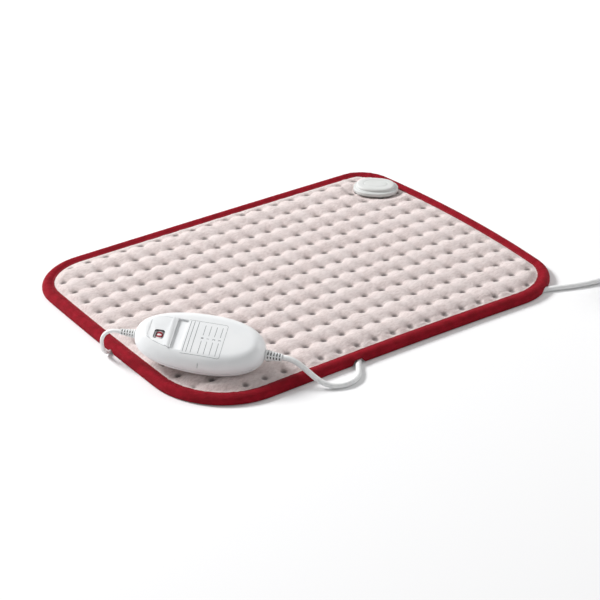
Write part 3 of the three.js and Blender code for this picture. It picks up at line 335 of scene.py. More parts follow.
grid_x, grid_y = np.meshgrid(
    tack_lines(first_tack[0], tack_pitch[0], tack_columns),
    tack_lines(first_tack[1], -tack_pitch[1], tack_rows),
    indexing="ij",
)
plan = np.stack([grid_x.ravel(), grid_y.ravel()], 1)
depth = depth_inside(plan, rim)
hem_tuck = 0.0058
tape_reach = 0.0122
kept = (depth > hem_tuck) & (coupling_oval(plan, *neck_reach) > 1)
square = np.arange(plan.shape[0]).reshape(grid_x.shape)
tack = np.zeros(grid_x.shape, bool)
tack[cells:(tack_columns + 1) * cells:cells, cells:(tack_rows + 1) * cells:cells] = True
number = np.cumsum(kept) - 1
quads = np.stack([square[:-1, :-1], square[:-1, 1:], square[1:, 1:], square[1:, :-1]], -1).reshape(-1, 4)
quads = number[quads[kept[quads].all(1)]]
hem_height, tack_height = 0.00692, 0.0078
rim_slope = 0.003
free = np.clip((depth - tape_reach) / rim_slope, 0, 1)
cloth_points = np.column_stack([plan, hem_height + (tack_height - hem_height) * free])[kept]
quilt = piece_from("quilted_top", cloth_points, quads)
held = quilt.vertex_groups.new(name="held")
held.add([int(k) for k in np.nonzero((tack.ravel() | (depth < tape_reach + 0.001))[kept])[0]], 1.0, "REPLACE")
swell = quilt.modifiers.new("swell", "CLOTH")
swell.settings.vertex_group_mass = "held"
swell.settings.quality = 6
swell.settings.shrink_min = -0.06
swell.settings.shrink_max = -0.06
swell.settings.bending_stiffness = 0.4
swell.settings.air_damping = 2
swell.collision_settings.use_collision = False
swell.collision_settings.use_self_collision = False
swell.point_cache.frame_end = 14
scene.gravity = (0, 0, 60)
for step in range(1, swell.point_cache.frame_end + 1):
    scene.frame_set(step)
apply_all(quilt)
scene.gravity = (0, 0, -9.81)
scene.frame_set(1)
select_only(quilt)
finer = quilt.modifiers.new("finer", "SUBSURF")
finer.levels = finer.render_levels = 1
apply_all(quilt)

# The wadding stands in soft ridges between the rows of tacks, which dip a little at each column. The tacks pull
# steep pits in the creases between the ridges, and the rim is sewn flat. The simulated swells lie over that.
ease = quilt.modifiers.new("ease", "SMOOTH")
ease.factor = 0.5
ease.iterations = 7
ease.use_x = ease.use_y = False
apply_all(quilt)
loose = np.array([v.co for v in quilt.data.vertices])
from_rim = depth_inside(loose[:, :2], rim)
swollen = np.clip(loose[:, 2] - tack_height, 0, None)
crown = max(np.percentile(swollen, 98), 1e-4)
sewn_flat = np.clip((from_rim - tape_reach) / 0.0085, 0, 1)
sewn_flat = sewn_flat * sewn_flat * (3 - 2 * sewn_flat)
risen = np.clip((from_rim - tape_reach) / 0.004, 0, 1)
tack_x = (loose[:, 0] - first_tack[0]) / tack_pitch[0]
tack_y = (first_tack[1] - loose[:, 1]) / tack_pitch[1]
between = np.sin(math.pi * tack_x) ** 2
saddle = 0.30 * between
ridge = np.abs(np.sin(math.pi * tack_y)) ** 1.15 * (0.86 + 0.14 * between)
rolled = saddle + (1 - saddle) * ridge
fullness = 0.3 * np.clip(swollen / crown, 0, 1) + 0.7 * rolled
uneven = np.ones(len(loose))
for k, turn in enumerate(np.random.default_rng(3).uniform(0, 6.28, 8)):
    way = np.array([math.cos(turn), math.sin(turn)]) * (150 + 35 * k)
    uneven += 0.022 * np.sin(loose[:, :2] @ way + turn * 5)
puff_height = 0.0052
height = hem_height + (tack_height - hem_height) * risen + fullness * uneven * puff_height * sewn_flat
off_x = (tack_x - np.clip(np.round(tack_x), 0, tack_columns - 1)) * tack_pitch[0]
off_y = (tack_y - np.clip(np.round(tack_y), 0, tack_rows - 1)) * tack_pitch[1]
off_tack = np.hypot(off_x, off_y)
off_rim = np.clip((from_rim - tape_reach) / rim_slope, 0, 1)
cap_reach = (0.025, 0.018)
from_cap = np.clip((coupling_oval(loose, *cap_reach) ** (1 / coupling_power) - 1.02) / 0.45, 0, 1)
held_down = tack_height + 0.0008
height = np.where(height > held_down, held_down + (height - held_down) * from_cap, height)
pit_depth = 0.0017
height -= pit_depth * np.exp(-(off_tack / 0.0036) ** 2) * off_rim
lowest = 0.0069
loose[:, 2] = np.maximum(height, lowest)

# It is pressed down under the controller, its strain reliefs, the leads and the coupling.
pressed_gap = 0.0004
pressers = []
for node in (
    "lower_housing", "coupling_top_shell", "pad_lead_strain_relief", "mains_strain_relief",
    "pad_lead", "mains_lead",
):
    solid = bpy.data.objects[node]
    solid_points = [solid.matrix_world @ v.co for v in solid.data.vertices]
    pressers.append(BVHTree.FromPolygons(solid_points, [tuple(p.vertices) for p in solid.data.polygons]))
for k, (x, y, z) in enumerate(loose):
    for presser in pressers:
        hit = presser.ray_cast(Vector((x, y, lowest)), Vector((0, 0, 1)), 0.02)[0]
        if hit is not None and hit.z - pressed_gap < z:
            z = max(hit.z - pressed_gap, 0.0068)
    loose[k, 2] = z
quilt.data.vertices.foreach_set("co", loose.ravel())
# How strongly the fleece is darkened round each tack: painted shade for the hollow there.
pitted = quilt.data.attributes.new("pitted", "FLOAT", "POINT")
pitted.data.foreach_set("value", (np.exp(-(off_tack / 0.0034) ** 2) * off_rim).astype(np.float32))
quilt.data.update()

# Its underside is closed flat, round the opening for the coupling's neck.
underside = 0.00676
hem = bmesh.new()
hem.from_mesh(quilt.data)
open_edges = [e for e in hem.edges if e.is_boundary]
turned = bmesh.ops.extrude_edge_only(hem, edges=open_edges)["geom"]
for point in [g for g in turned if isinstance(g, bmesh.types.BMVert)]:
    point.co.z = underside
bmesh.ops.triangle_fill(hem, edges=[g for g in turned if isinstance(g, bmesh.types.BMEdge)], use_beauty=True)
bmesh.ops.recalc_face_normals(hem, faces=hem.faces)
hem.to_mesh(quilt.data)
hem.free()
for face in quilt.data.polygons:
    face.use_smooth = True

fleece, fleece_start, place = new_material("fleece", 0.95, sheen=0.2)
pit_shade = fleece_start.node("ShaderNodeAttribute", {"attribute_name": "pitted"}, take="Fac")
brushed_way = place.node("ShaderNodeMapping", None, {
    "Vector": place, "Rotation": (0, 0, math.radians(-56)), "Scale": (0.42, 1, 1),
})
tufts = grain(brushed_way, 520, 5, Roughness=0.72)
pile = grain(place, 1500, 3, Roughness=0.6)
patches = grain(place, 55, 3)
shade = colour_mix(tufts.rise(0.32, 0.68), (0.74, 0.62, 0.595), (0.98, 0.86, 0.835))
shade = colour_mix(patches.rise(0.35, 0.75) * 0.35, shade, (0.94, 0.86, 0.84))
# Painted shade: round each tack the fleece is darkened nearly to black-brown, standing for the shade in the hollow
# at the tack.
shade = colour_mix(pit_shade.rise(0.15, 0.85) * 0.9, shade, (0.20, 0.165, 0.16))
dress(fleece, shade, tufts + pile * 0.5, 0.0019)
quilt.data.materials.append(fleece)
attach(quilt, "pad_and_controller")
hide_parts("top_cover")

# The controller's housing: two moulded halves of satin white ABS, screwed together from below, with a full,
# slightly egg-shaped outline. The upper half carries the switch's track, the drum's slot and a tick on each flank.
controller_axes = Matrix((
    (0.69194, -0.71803, -0.07515), (0.69448, 0.63355, 0.34105), (-0.19727, -0.28818, 0.93704),
)).transposed().to_4x4()
controller_place = Matrix.Translation((-0.170, -0.0967, 0.0303)) @ controller_axes
housing_reach = (0.0606, 0.0314)
housing_egg = 0.06
wall = 0.0026
parting = 0.0003


def oval_loop(name, reach, height, power=2.2, egg=0.0, sides=128, fill="NOTHING"):
    """A level oval, a little fuller than an ellipse, and wider towards +X by the egg's share."""
    bpy.ops.object.select_all(action="DESELECT")
    bpy.ops.mesh.primitive_circle_add(vertices=sides, radius=1, fill_type=fill)
    piece = bpy.context.object
    piece.name = piece.data.name = name
    for point in piece.data.vertices:
        x = math.copysign(abs(point.co.x) ** (2 / power), point.co.x)
        y = math.copysign(abs(point.co.y) ** (2 / power), point.co.y)
        point.co = (reach[0] * x, reach[1] * y * (1 + egg * x), height)
    return piece


@contextmanager
def editing(piece, kind="EDGE", action="SELECT"):
    """Edit mode on the piece, by edges or by faces, with all of them selected or none."""
    select_only(piece)
    bpy.ops.object.mode_set(mode="EDIT")
    bpy.ops.mesh.select_mode(type=kind)
    bpy.ops.mesh.select_all(action=action)
    yield
    bpy.ops.object.mode_set(mode="OBJECT")


def select_none_of(piece, kind):
    """Leaves no edge or face of the piece selected."""
    with editing(piece, kind, "DESELECT"):
        pass


def draw_up(piece, levels, close=True):
    """Extrudes the piece's loop to each level in turn, given as its reach in X and Y and its height."""
    with editing(piece):
        for before, level in zip(levels, levels[1:]):
            bpy.ops.mesh.extrude_region_move(TRANSFORM_OT_translate={"value": (0, 0, level[2] - before[2])})
            bpy.ops.transform.resize(
                value=(level[0] / before[0], level[1] / before[1], 1), center_override=(0, 0, 0),
            )
        if close:
            bpy.ops.mesh.merge(type="CENTER")


def face_outwards(piece):
    with editing(piece):
        bpy.ops.mesh.normals_make_consistent(inside=False)


def fill_open_loops(piece):
    """Closes each open end with one face and turns all the faces outwards."""
    with editing(piece, action="DESELECT"):
        bpy.ops.mesh.select_non_manifold()
        bpy.ops.mesh.edge_face_add()
    face_outwards(piece)


def block(low, high):
    """A box between two opposite corners."""
    bpy.ops.object.select_all(action="DESELECT")
    low, high = Vector(low), Vector(high)
    bpy.ops.mesh.primitive_cube_add(size=1, location=(low + high) / 2)
    bpy.context.object.scale = high - low
    bpy.ops.object.transform_apply(location=True, rotation=True, scale=True)
    return bpy.context.object


def rod(start, end, radius, sides=48):
    """A round rod between two points."""
    bpy.ops.object.select_all(action="DESELECT")
    start, end = Vector(start), Vector(end)
    turned = (end - start).to_track_quat("Z", "Y").to_euler()
    bpy.ops.mesh.primitive_cylinder_add(
        vertices=sides, radius=radius, depth=(end - start).length, location=(start + end) / 2, rotation=turned,
    )
    bpy.ops.object.transform_apply(location=True, rotation=True, scale=True)
    return bpy.context.object


def shape_with(piece, tool, operation="DIFFERENCE"):
    """Cuts the tool from the piece, joins it on or keeps what both share, and the tool is gone."""
    select_only(piece)
    change = piece.modifiers.new("change", "BOOLEAN")
    change.operation = operation
    change.object = tool
    change.solver = "EXACT"
    bpy.ops.object.modifier_apply(modifier=change.name)
    bpy.data.objects.remove(tool)


def soften(piece, width, sharpest=35, segments=2, join=0.0):
    """Joins edges shorter than a given length, rounds the sharp edges a little and shades the rest smooth."""
    if join:
        with editing(piece):
            bpy.ops.mesh.dissolve_degenerate(threshold=join)
    edge = piece.modifiers.new("edge", "BEVEL")
    edge.width = width
    edge.segments = segments
    edge.limit_method = "ANGLE"
    edge.angle_limit = math.radians(sharpest)
    edge.harden_normals = False
    apply_all(piece)
    bpy.ops.object.shade_smooth_by_angle(angle=math.radians(38))


def put(piece, place):
    """Moves the mesh to its place and leaves its object at the origin."""
    piece.data.transform(place)
    piece.data.update()


def half_housing(name, height, shoulder, crown, steps=14):
    """A dome whose side leans in along a quarter of an ellipse, closed by a low crown."""
    levels = []
    for k in range(steps + 1):
        angle = math.pi / 2 * k / steps
        lean = shoulder * (1 - math.cos(angle))
        levels.append((housing_reach[0] - lean, housing_reach[1] - lean, height * math.sin(angle)))
    top = levels[-1]
    for share in (0.9, 0.76, 0.6, 0.42, 0.24, 0.1):
        levels.append((top[0] * share, top[1] * share, height + crown * (1 - share * share)))
    shell = oval_loop(name, housing_reach, 0, egg=housing_egg)
    draw_up(shell, levels)
    face_outwards(shell)
    if sum(face.normal.z * face.area for face in shell.data.polygons) * height < 0:
        shell.data.flip_normals()
    skin = shell.modifiers.new("skin", "SOLIDIFY")
    skin.thickness = wall
    skin.offset = -1
    apply_all(shell)
    return shell


track_left, track_right, track_front, track_rear = -0.046, -0.013, -0.0205, 0.0145
track_floor = 0.0122
track_inset = 0.009
drum_centre = (-0.0358, -0.0068, 0.0055)
drum_radius = 0.007
slide = 0.0096


def track_area(margin, low, high):
    """The part of the track's rectangle that lies inside the housing's oval, a margin smaller all round."""
    front_left = (track_left + margin, track_front + margin, low)
    rear_right = (track_right - margin, track_rear - margin, high)
    area = block(front_left, rear_right)
    inset = track_inset + margin
    reach = (housing_reach[0] - inset, housing_reach[1] - inset)
    bound = oval_loop("bound", reach, low - 0.001, egg=housing_egg, fill="NGON")
    draw_up(bound, [(*reach, low - 0.001), (*reach, high + 0.001)], close=False)
    fill_open_loops(bound)
    shape_with(area, bound, "INTERSECT")
    return area


def on_drum_axis(front, rear, radius, sides=48):
    """A rod on the drum's axis, as it lies at 0."""
    x, _, z = drum_centre
    return rod((x, front, z), (x, rear, z), radius, sides)


mains_hole_radius, pad_hole_radius = 0.0041, 0.00335
hole_inner, hole_outer = 0.045, 0.064


def bore_lead_holes(shell):
    """A round hole in each end of a half, for the root of its strain relief."""
    shape_with(shell, rod((hole_inner, 0, 0), (hole_outer, 0, 0), mains_hole_radius))
    shape_with(shell, rod((-hole_outer, 0, 0), (-hole_inner, 0, 0), pad_hole_radius))


upper = half_housing("housing_upper", height=0.014, shoulder=0.0125, crown=0.0005)
shape_with(upper, track_area(0, track_floor, 0.02))
slot_front, slot_rear = -0.01345, 0.00205
slot = on_drum_axis(slot_front, slot_rear, drum_radius + 0.00045)
for point in slot.data.vertices:
    if point.co.x > drum_centre[0]:
        point.co.x += slide
shape_with(upper, slot)
# Only the outer skin of each flank is cut for its tick, so that the wall behind it stays whole.
tick_left, tick_right, tick_low, tick_high = 0.0047, 0.0053, 0.0042, 0.0088
for front, rear in ((-0.033, -0.0265), (0.0265, 0.033)):
    shape_with(upper, block((tick_left, front, tick_low), (tick_right, rear, tick_high)))
bore_lead_holes(upper)
soften(upper, 0.00025, join=0.0003)

lower = half_housing("housing_lower", height=-0.013, shoulder=0.022, crown=0)
bore_lead_holes(lower)
screw_pocket_radius, screw_pocket_top = 0.00265, -0.0061
screw_x, screw_y = 0.038, 0.017
for x in (-screw_x, screw_x):
    for y in (-screw_y, screw_y):
        shape_with(lower, rod((x, y, -0.02), (x, y, screw_pocket_top), screw_pocket_radius, 32))
put(lower, Matrix.Translation((0, 0, -parting)))
soften(lower, 0.00025)

shell_white, _, place = new_material("satin_abs", 0.3, coat=0.25)
spark = grain(place, 2600, 2)
flow = grain(place, 45, 3)
white = near_tones(flow, (0.82, 0.835, 0.845), (0.86, 0.87, 0.875))
dress(shell_white, white, spark * 0.8 + flow * 0.4, 0.00003, 0.27 + 0.12 * flow)
for piece, node in ((upper, "upper_housing"), (lower, "lower_housing")):
    put(piece, controller_place)
    piece.data.materials.append(shell_white)
    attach(piece, "pad_and_controller")
    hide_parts(node)

# The switch's slider: a flush plate of the same white ABS with a rounded window over the digit and a raised
# thumb ridge at its end. Two cheeks below it carry the drum's axle.
plate_low, plate_high = track_floor + parting, track_floor + parting + 0.0015
plate_end = track_right - parting - slide
ridge_width, ridge_height, ridge_lean = 0.005, 0.0013, 0.0028
cheek_left, cheek_right, cheek_bottom, cheek_thickness = -0.0378, -0.0338, 0.0035, 0.0012
window_left, window_right, window_front, window_rear = -0.0406, -0.0310, -0.0121, -0.0015
window_round = 0.0022
drum_room_front, drum_room_rear, drum_room_radius = -0.01165, 0.00025, 0.0073


def rounded_block(low, high, radius, along, segments=6):
    """A block whose four edges along one axis are rounded."""
    made = block(low, high)
    select_none_of(made, "EDGE")
    for edge in made.data.edges:
        a, b = (made.data.vertices[k].co for k in edge.vertices)
        edge.select = abs(a[along] - b[along]) > 1e-5
    bpy.ops.object.mode_set(mode="EDIT")
    bpy.ops.mesh.bevel(offset=radius, segments=segments)
    bpy.ops.object.mode_set(mode="OBJECT")
    return made


def window_block(margin, low, high):
    """A block of the window's outline, a margin smaller all round."""
    front_left = (window_left + margin, window_front + margin, low)
    rear_right = (window_right - margin, window_rear - margin, high)
    return rounded_block(front_left, rear_right, window_round - margin, 2, 8)


slider = track_area(parting, plate_low, plate_high)
slider.name = slider.data.name = "slider_plate"
shape_with(slider, block((plate_end, -0.04, 0), (0.04, 0.04, 0.03)))
ridge = track_area(parting, plate_high - 0.0005, plate_high + ridge_height)
shape_with(ridge, block((plate_end, -0.04, 0), (0.04, 0.04, 0.03)))
shape_with(ridge, block((-0.08, -0.04, 0), (plate_end - ridge_width, 0.04, 0.03)))
for point in ridge.data.vertices:
    if point.co.z > plate_high and point.co.x > plate_end - 0.001:
        point.co.x -= ridge_lean
shape_with(slider, ridge, "UNION")
for cheek_front in (-0.0129, 0.00025):
    front_left = (cheek_left, cheek_front, cheek_bottom)
    rear_right = (cheek_right, cheek_front + cheek_thickness, plate_low + 0.0004)
    shape_with(slider, block(front_left, rear_right), "UNION")
shape_with(slider, window_block(0, 0.01, 0.02))
shape_with(slider, on_drum_axis(drum_room_front, drum_room_rear, drum_room_radius, 64))
soften(slider, 0.00022)
put(slider, controller_place)
slider.data.materials.append(shell_white)
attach(slider, "slider")
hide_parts("switch_slider")

# The window's liner: a thin frame pressed into the window from below, which hides the drum's ends. Its near-black
# colour is painted shade, standing for the shadow on the window's inner edges.
# Only its front and rear walls go down into the drum's slot, so that it clears the slot's ends as it travels.
liner = window_block(0.00002, plate_low - 0.0009, plate_high - 0.0005)
liner.name = liner.data.name = "window_shade_liner"
shape_with(liner, window_block(0.00024, plate_low - 0.002, plate_high + 0.002))
shape_with(liner, on_drum_axis(drum_room_front, drum_room_rear, drum_room_radius, 64))
for left, right in ((-0.05, -0.0388), (-0.0328, -0.02)):
    shape_with(liner, block((left, -0.03, 0), (right, 0.01, plate_low)))
soften(liner, 0.00006)
put(liner, controller_place)
# Painted shade: near-black for the shadow inside the window's edges.
window_shade_black, _, place = new_material("window_shade_black", 0.5)
dress(window_shade_black, near_tones(grain(place, 900), (0.018, 0.018, 0.02), (0.04, 0.04, 0.043)))
liner.data.materials.append(window_shade_black)
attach(liner, "slider")

# The digit drum: a small moulded barrel on a thin axle, with a roller beside it that rolls on a rail.
# The digits 0 to 3 are printed round it in red, a quarter turn apart.
roller_radius, axle_radius = 0.00204, 0.0009
drum = rod((0, -0.0045, 0), (0, 0.0052, 0), drum_radius, 96)
drum.name = drum.data.name = "drum_barrel"
shape_with(drum, rod((0, 0.005, 0), (0, 0.0067, 0), roller_radius, 32), "UNION")
shape_with(drum, rod((0, -0.0060, 0), (0, 0.0082, 0), axle_radius, 24), "UNION")
soften(drum, 0.0002)
drum_place = controller_place @ Matrix.Translation(drum_centre)
put(drum, drum_place)
barrel, _, place = new_material("drum_moulding", 0.4)
flow = grain(place, 300)
dress(barrel, near_tones(flow, (0.86, 0.80, 0.80), (0.90, 0.85, 0.85)), flow, 0.00003)
drum.data.materials.append(barrel)
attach(drum, "drum")
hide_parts("digit_drum")


def slice_up(piece, normal, places):
    """Cuts the faces along parallel planes, so that they can bend."""
    with editing(piece):
        for where in places:
            bpy.ops.mesh.select_all(action="SELECT")
            bpy.ops.mesh.bisect(plane_co=[where * part for part in normal], plane_no=normal)


def figure(text, height, weight):
    """A flat figure, as a mesh centred on the origin, its top towards +Y."""
    bpy.ops.object.select_all(action="DESELECT")
    bpy.ops.object.text_add()
    made = bpy.context.object
    made.data.body = text
    made.data.size = 1
    made.data.offset = weight
    made.data.resolution_u = 6
    bpy.ops.object.convert(target="MESH")
    made = bpy.context.object
    points = np.array([v.co for v in made.data.vertices])
    low, high = points.min(0), points.max(0)
    scale = height / (high[1] - low[1])
    made.data.transform(Matrix.Scale(scale, 4) @ Matrix.Translation(-Vector((low + high) / 2)))
    return made


def join_pieces(pieces, name):
    """Joins the pieces to the first one and names it."""
    select_only(pieces[0])
    for piece in pieces[1:]:
        piece.select_set(True)
    bpy.ops.object.join()
    joined = bpy.context.object
    joined.name = joined.data.name = name
    return joined


def give_ink(print_piece, thickness):
    """Gives flat print the thickness of its ink."""
    ink_layer = print_piece.modifiers.new("ink", "SOLIDIFY")
    ink_layer.thickness = thickness
    ink_layer.offset = 1
    apply_all(print_piece)


digit_height, digit_widening, digit_shift = 0.0076, 1.25, 0.0006
digits = []
for k in range(4):
    digit = figure(str(k), digit_height, 0.03)
    slice_up(digit, (0, 1, 0), np.linspace(-0.0036, 0.0036, 17))
    for point in digit.data.vertices:
        turn = point.co.y / drum_radius + k * math.pi / 2
        skin_radius = drum_radius + 0.00003
        x = -math.sin(turn) * skin_radius
        z = math.cos(turn) * skin_radius
        point.co = (x, point.co.x * digit_widening + digit_shift, z)
    digits.append(digit)
digits = join_pieces(digits, "drum_figures")
give_ink(digits, 0.00006)
put(digits, drum_place)
red_ink, _, place = new_material("red_print", 0.35)
dress(red_ink, near_tones(grain(place, 900), (0.30, 0.006, 0.02), (0.42, 0.012, 0.035)))
digits.data.materials.append(red_ink)
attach(digits, "drum")

# The printed scale beside the switch: thin dark grey lines and the figures 0 to 3, printed on the crown,
# with a fine frame round them that is open towards the track.
def sheet_of_ink(middle, size):
    """A flat rectangle on the XY plane."""
    bpy.ops.object.select_all(action="DESELECT")
    bpy.ops.mesh.primitive_plane_add(size=1, location=(*middle, 0))
    bpy.context.object.scale = (*size, 1)
    bpy.ops.object.transform_apply(location=True, rotation=True, scale=True)
    return bpy.context.object


def line_across(x, width, front, rear):
    """A printed line across the housing."""
    return sheet_of_ink((x, (front + rear) / 2), (width, rear - front))


marks = [line_across(x, 0.00044, -0.0215, 0.0140) for x in (-0.0106, -0.0073, -0.0033)]
step_places = (0.0035, 0.0087, 0.0140, 0.0193)
for x in step_places:
    marks += [line_across(x, 0.0004, -0.0008, 0.0110), line_across(x, 0.0004, -0.0215, -0.0072)]
for k, x in enumerate(step_places):
    number = figure(str(k), 0.0024, 0.045 if k == 0 else 0.012)
    number.data.transform(Matrix.Translation((x, -0.0040, 0)) @ Matrix.Rotation(math.radians(90), 4, "Z"))
    marks.append(number)
border = sheet_of_ink((0.0020, -0.0042), (0.0430, 0.0384))
border_round, border_width, border_open = 0.0022, 0.00028, -0.0125
with editing(border):
    bpy.ops.mesh.bevel(offset=border_round, segments=6, affect="VERTICES")
with editing(border, "FACE"):
    bpy.ops.mesh.inset(thickness=border_width)
    bpy.ops.mesh.delete(type="FACE")
    bpy.ops.mesh.select_all(action="SELECT")
    bpy.ops.mesh.bisect(plane_co=(border_open, 0, 0), plane_no=(1, 0, 0), clear_inner=True)
marks.append(border)
scale_print = join_pieces(marks, "scale_print")
slice_up(scale_print, (0, 1, 0), np.arange(-0.022, 0.0145, 0.0015))
slice_up(scale_print, (1, 0, 0), np.arange(-0.010, 0.022, 0.004))
put(scale_print, controller_place @ Matrix.Translation((0, 0, 0.02)))
crown_faces = [tuple(face.vertices) for face in upper.data.polygons]
crown_skin = BVHTree.FromPolygons([v.co for v in upper.data.vertices], crown_faces)
face_up = (controller_place.to_3x3() @ Vector((0, 0, 1))).normalized()
for point in scale_print.data.vertices:
    hit = crown_skin.ray_cast(point.co, -face_up, 0.03)[0]
    point.co = hit + face_up * 0.00002
give_ink(scale_print, 0.00005)
grey_ink, _, place = new_material("grey_print", 0.5)
dress(grey_ink, near_tones(grain(place, 700), (0.16, 0.17, 0.18), (0.24, 0.25, 0.26)))
scale_print.data.materials.append(grey_ink)
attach(scale_print, "pad_and_controller")

# The strain reliefs: tapered sleeves of soft grey-white PVC moulded on the leads where they leave the housing.
# Deep slots between ribs let them bend, with four ridges left along them, and a flange holds them in the wall.
soft_pvc, _, place = new_material("relief_pvc", 0.45, coat=0.1)
flow = grain(place, 200, 3)
tone = near_tones(flow, (0.82, 0.83, 0.83), (0.89, 0.89, 0.885))
dress(soft_pvc, tone, flow, 0.00004, 0.4 + 0.1 * flow)
# Painted shade: the slots' bottoms get a near-black grey, standing for the shade deep in the narrow slots.
slot_shade_pvc, _, place = new_material("relief_slot_shade", 0.6)
dress(slot_shade_pvc, near_tones(grain(place, 900), (0.10, 0.105, 0.105), (0.15, 0.155, 0.155)))
relief_root, relief_sleeve_start = 0.0518, 0.0609
rib_share = 0.46


def strain_relief(name, node, direction, base, tip, length, ribs, core):
    """Drawn up from its flange to its tip along Z, then turned to point out of its end of the housing."""
    neck = base * 0.76 / 2
    flange = neck + 0.0012
    levels = [(flange, 0.0018), (flange, 0.0042), (neck, 0.0043), (neck, 0.0088)]
    pitch = length / (ribs + 0.6)
    start = relief_sleeve_start - relief_root
    for k in range(ribs):
        outer = (base + (tip - base) * k / ribs) / 2
        after = (base + (tip - base) * (k + 0.6) / ribs) / 2
        levels += [(outer, start + k * pitch), (after, start + (k + rib_share) * pitch)]
    end = start + length
    levels += [(tip / 2, start + ribs * pitch), (tip / 2, end - 0.0004), (tip / 2 - 0.0004, end)]
    levels = [(radius, radius, along) for radius, along in levels]
    sleeve = oval_loop(name, levels[0][:2], levels[0][2], power=2, sides=48)
    draw_up(sleeve, levels)
    fill_open_loops(sleeve)
    slots = []
    for face in sleeve.data.polygons:
        centre = face.center
        for k in range(ribs):
            low, high = start + (k + rib_share) * pitch, start + (k + 1) * pitch
            around = math.degrees(math.atan2(centre.y, centre.x)) % 90
            if low < centre.z < high and not 34 < around < 56:
                slots.append(face.index)
    select_none_of(sleeve, "FACE")
    for k in slots:
        sleeve.data.polygons[k].select = True
    bpy.ops.object.mode_set(mode="EDIT")
    bpy.ops.mesh.extrude_region_move(TRANSFORM_OT_translate={"value": (0, 0, 0)})
    bpy.ops.object.mode_set(mode="OBJECT")
    for point in sleeve.data.vertices:
        if point.select:
            inwards = core / math.hypot(point.co.x, point.co.y)
            point.co.x *= inwards
            point.co.y *= inwards
    sleeve.data.materials.append(soft_pvc)
    sleeve.data.materials.append(slot_shade_pvc)
    # The faces at the slots' bottoms take the painted shade.
    for face in sleeve.data.polygons:
        deepest = max(math.hypot(*sleeve.data.vertices[k].co.xy) for k in face.vertices)
        face.material_index = 1 if deepest < core + 0.0001 and face.center.z > start else 0
    soften(sleeve, 0.00018, 40)
    outwards = Matrix.Rotation(math.radians(90 * direction), 4, "Y")
    put(sleeve, controller_place @ Matrix.Translation((direction * relief_root, 0, 0)) @ outwards)
    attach(sleeve, "pad_and_controller")
    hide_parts(node)


strain_relief(
    "mains_relief_sleeve", "mains_strain_relief", 1,
    base=0.0100, tip=0.0069, length=0.0152, ribs=5, core=0.0028,
)
strain_relief(
    "pad_relief_sleeve", "pad_lead_strain_relief", -1,
    base=0.0082, tip=0.0056, length=0.0140, ribs=5, core=0.0020,
)

# The coupling on the pad's rear corner: a two-tier moulded cap of matte grey-white ABS, with a shallow ring
# in its top. It is screwed through the layers to a lower shell that takes the pad's lead.
coupling_place = Matrix.Translation((*coupling_middle, 0)) @ Matrix.Rotation(coupling_turn, 4, "Z")
# Half length, half width and height above the floor, from the foot to the middle of the top.
cap_levels = [(0.0247, 0.0177, 0.0109), (0.0250, 0.0180, 0.0113), (0.0250, 0.0180, 0.0133)]
for k in range(1, 7):
    angle = math.pi / 2 * k / 6
    lean = 0.0015 * (1 - math.cos(angle))
    cap_levels.append((0.0250 - lean, 0.0180 - lean, 0.0133 + 0.0015 * math.sin(angle)))
cap_levels += [(0.0219, 0.0152, 0.01485), (0.0215, 0.01475, 0.0151), (0.0215, 0.01475, 0.0160)]
for k in range(1, 9):
    angle = math.pi / 2 * k / 8
    lean = 0.0026 * (1 - math.cos(angle))
    cap_levels.append((0.0215 - lean, 0.01475 - lean, 0.0160 + 0.0022 * math.sin(angle)))
cap_levels += [
    (0.0162, 0.0100, 0.01832), (0.0139, 0.0079, 0.01836), (0.0136, 0.0076, 0.01806), (0.0130, 0.0070, 0.01806),
    (0.0127, 0.0067, 0.01838), (0.0090, 0.0045, 0.01844), (0.0040, 0.0020, 0.01846),
]
cap_levels = [(0.95 * along, 1.06 * across, up) for along, across, up in cap_levels]
cap = oval_loop("coupling_cap", cap_levels[0][:2], cap_levels[0][2], power=coupling_power, sides=112)
draw_up(cap, cap_levels)
fill_open_loops(cap)


def oval_post(name, reach, low, high):
    """A solid post of the coupling's oval, to be joined on or cut out."""
    post = oval_loop(name, reach, low, power=coupling_power, sides=112, fill="NGON")
    draw_up(post, [(*reach, low), (*reach, high)], close=False)
    fill_open_loops(post)
    return post


shape_with(cap, oval_post("neck", (0.0175, 0.0115), 0.0059, 0.0115), "UNION")
shape_with(cap, oval_post("hollow", (0.0155, 0.0095), 0.005, 0.0148))
soften(cap, 0.0002, 40)
put(cap, coupling_place)
cap_matte, _, place = new_material("matte_abs", 0.48)
spark = grain(place, 2400)
flow = grain(place, 60, 3)
tone = near_tones(flow, (0.60, 0.615, 0.60), (0.645, 0.655, 0.645))
dress(cap_matte, tone, spark, 0.00005, 0.44 + 0.12 * spark)
cap.data.materials.append(cap_matte)
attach(cap, "pad_and_controller")
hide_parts("coupling_top_shell")

# The tie: a grey-white hook-and-loop band closed round the put-away coil, its end lapped over on top.
# The mains lead's coil has four layers of two and a half turns, which the band holds together.
mains_diameter = 0.0052
coil_centre = (0.272, -0.213)
coil_inner = 0.022
coil_pitch = 0.00575
coil_layers = 4
turns_a_layer = 2.5
coil_first_z = 0.0039
coil_far = coil_inner + turns_a_layer * coil_pitch
coil_top = coil_first_z + (coil_layers - 1) * coil_pitch
strap_room = mains_diameter / 2 + 0.0003
near_side, far_side = coil_inner - strap_room, coil_far + strap_room + 0.0003
strap_top = coil_top + strap_room
strap = 0.001
strap_turn = math.radians(200)
tie = rounded_block((near_side - strap, -0.003, 0), (far_side + strap, 0.003, strap_top + strap), 0.0032, 1)
tie.name = tie.data.name = "coil_band"
shape_with(tie, rounded_block((near_side, -0.01, strap), (far_side, 0.01, strap_top), 0.0023, 1))
lap_low, lap_high = strap_top + 0.0008, strap_top + 0.0020
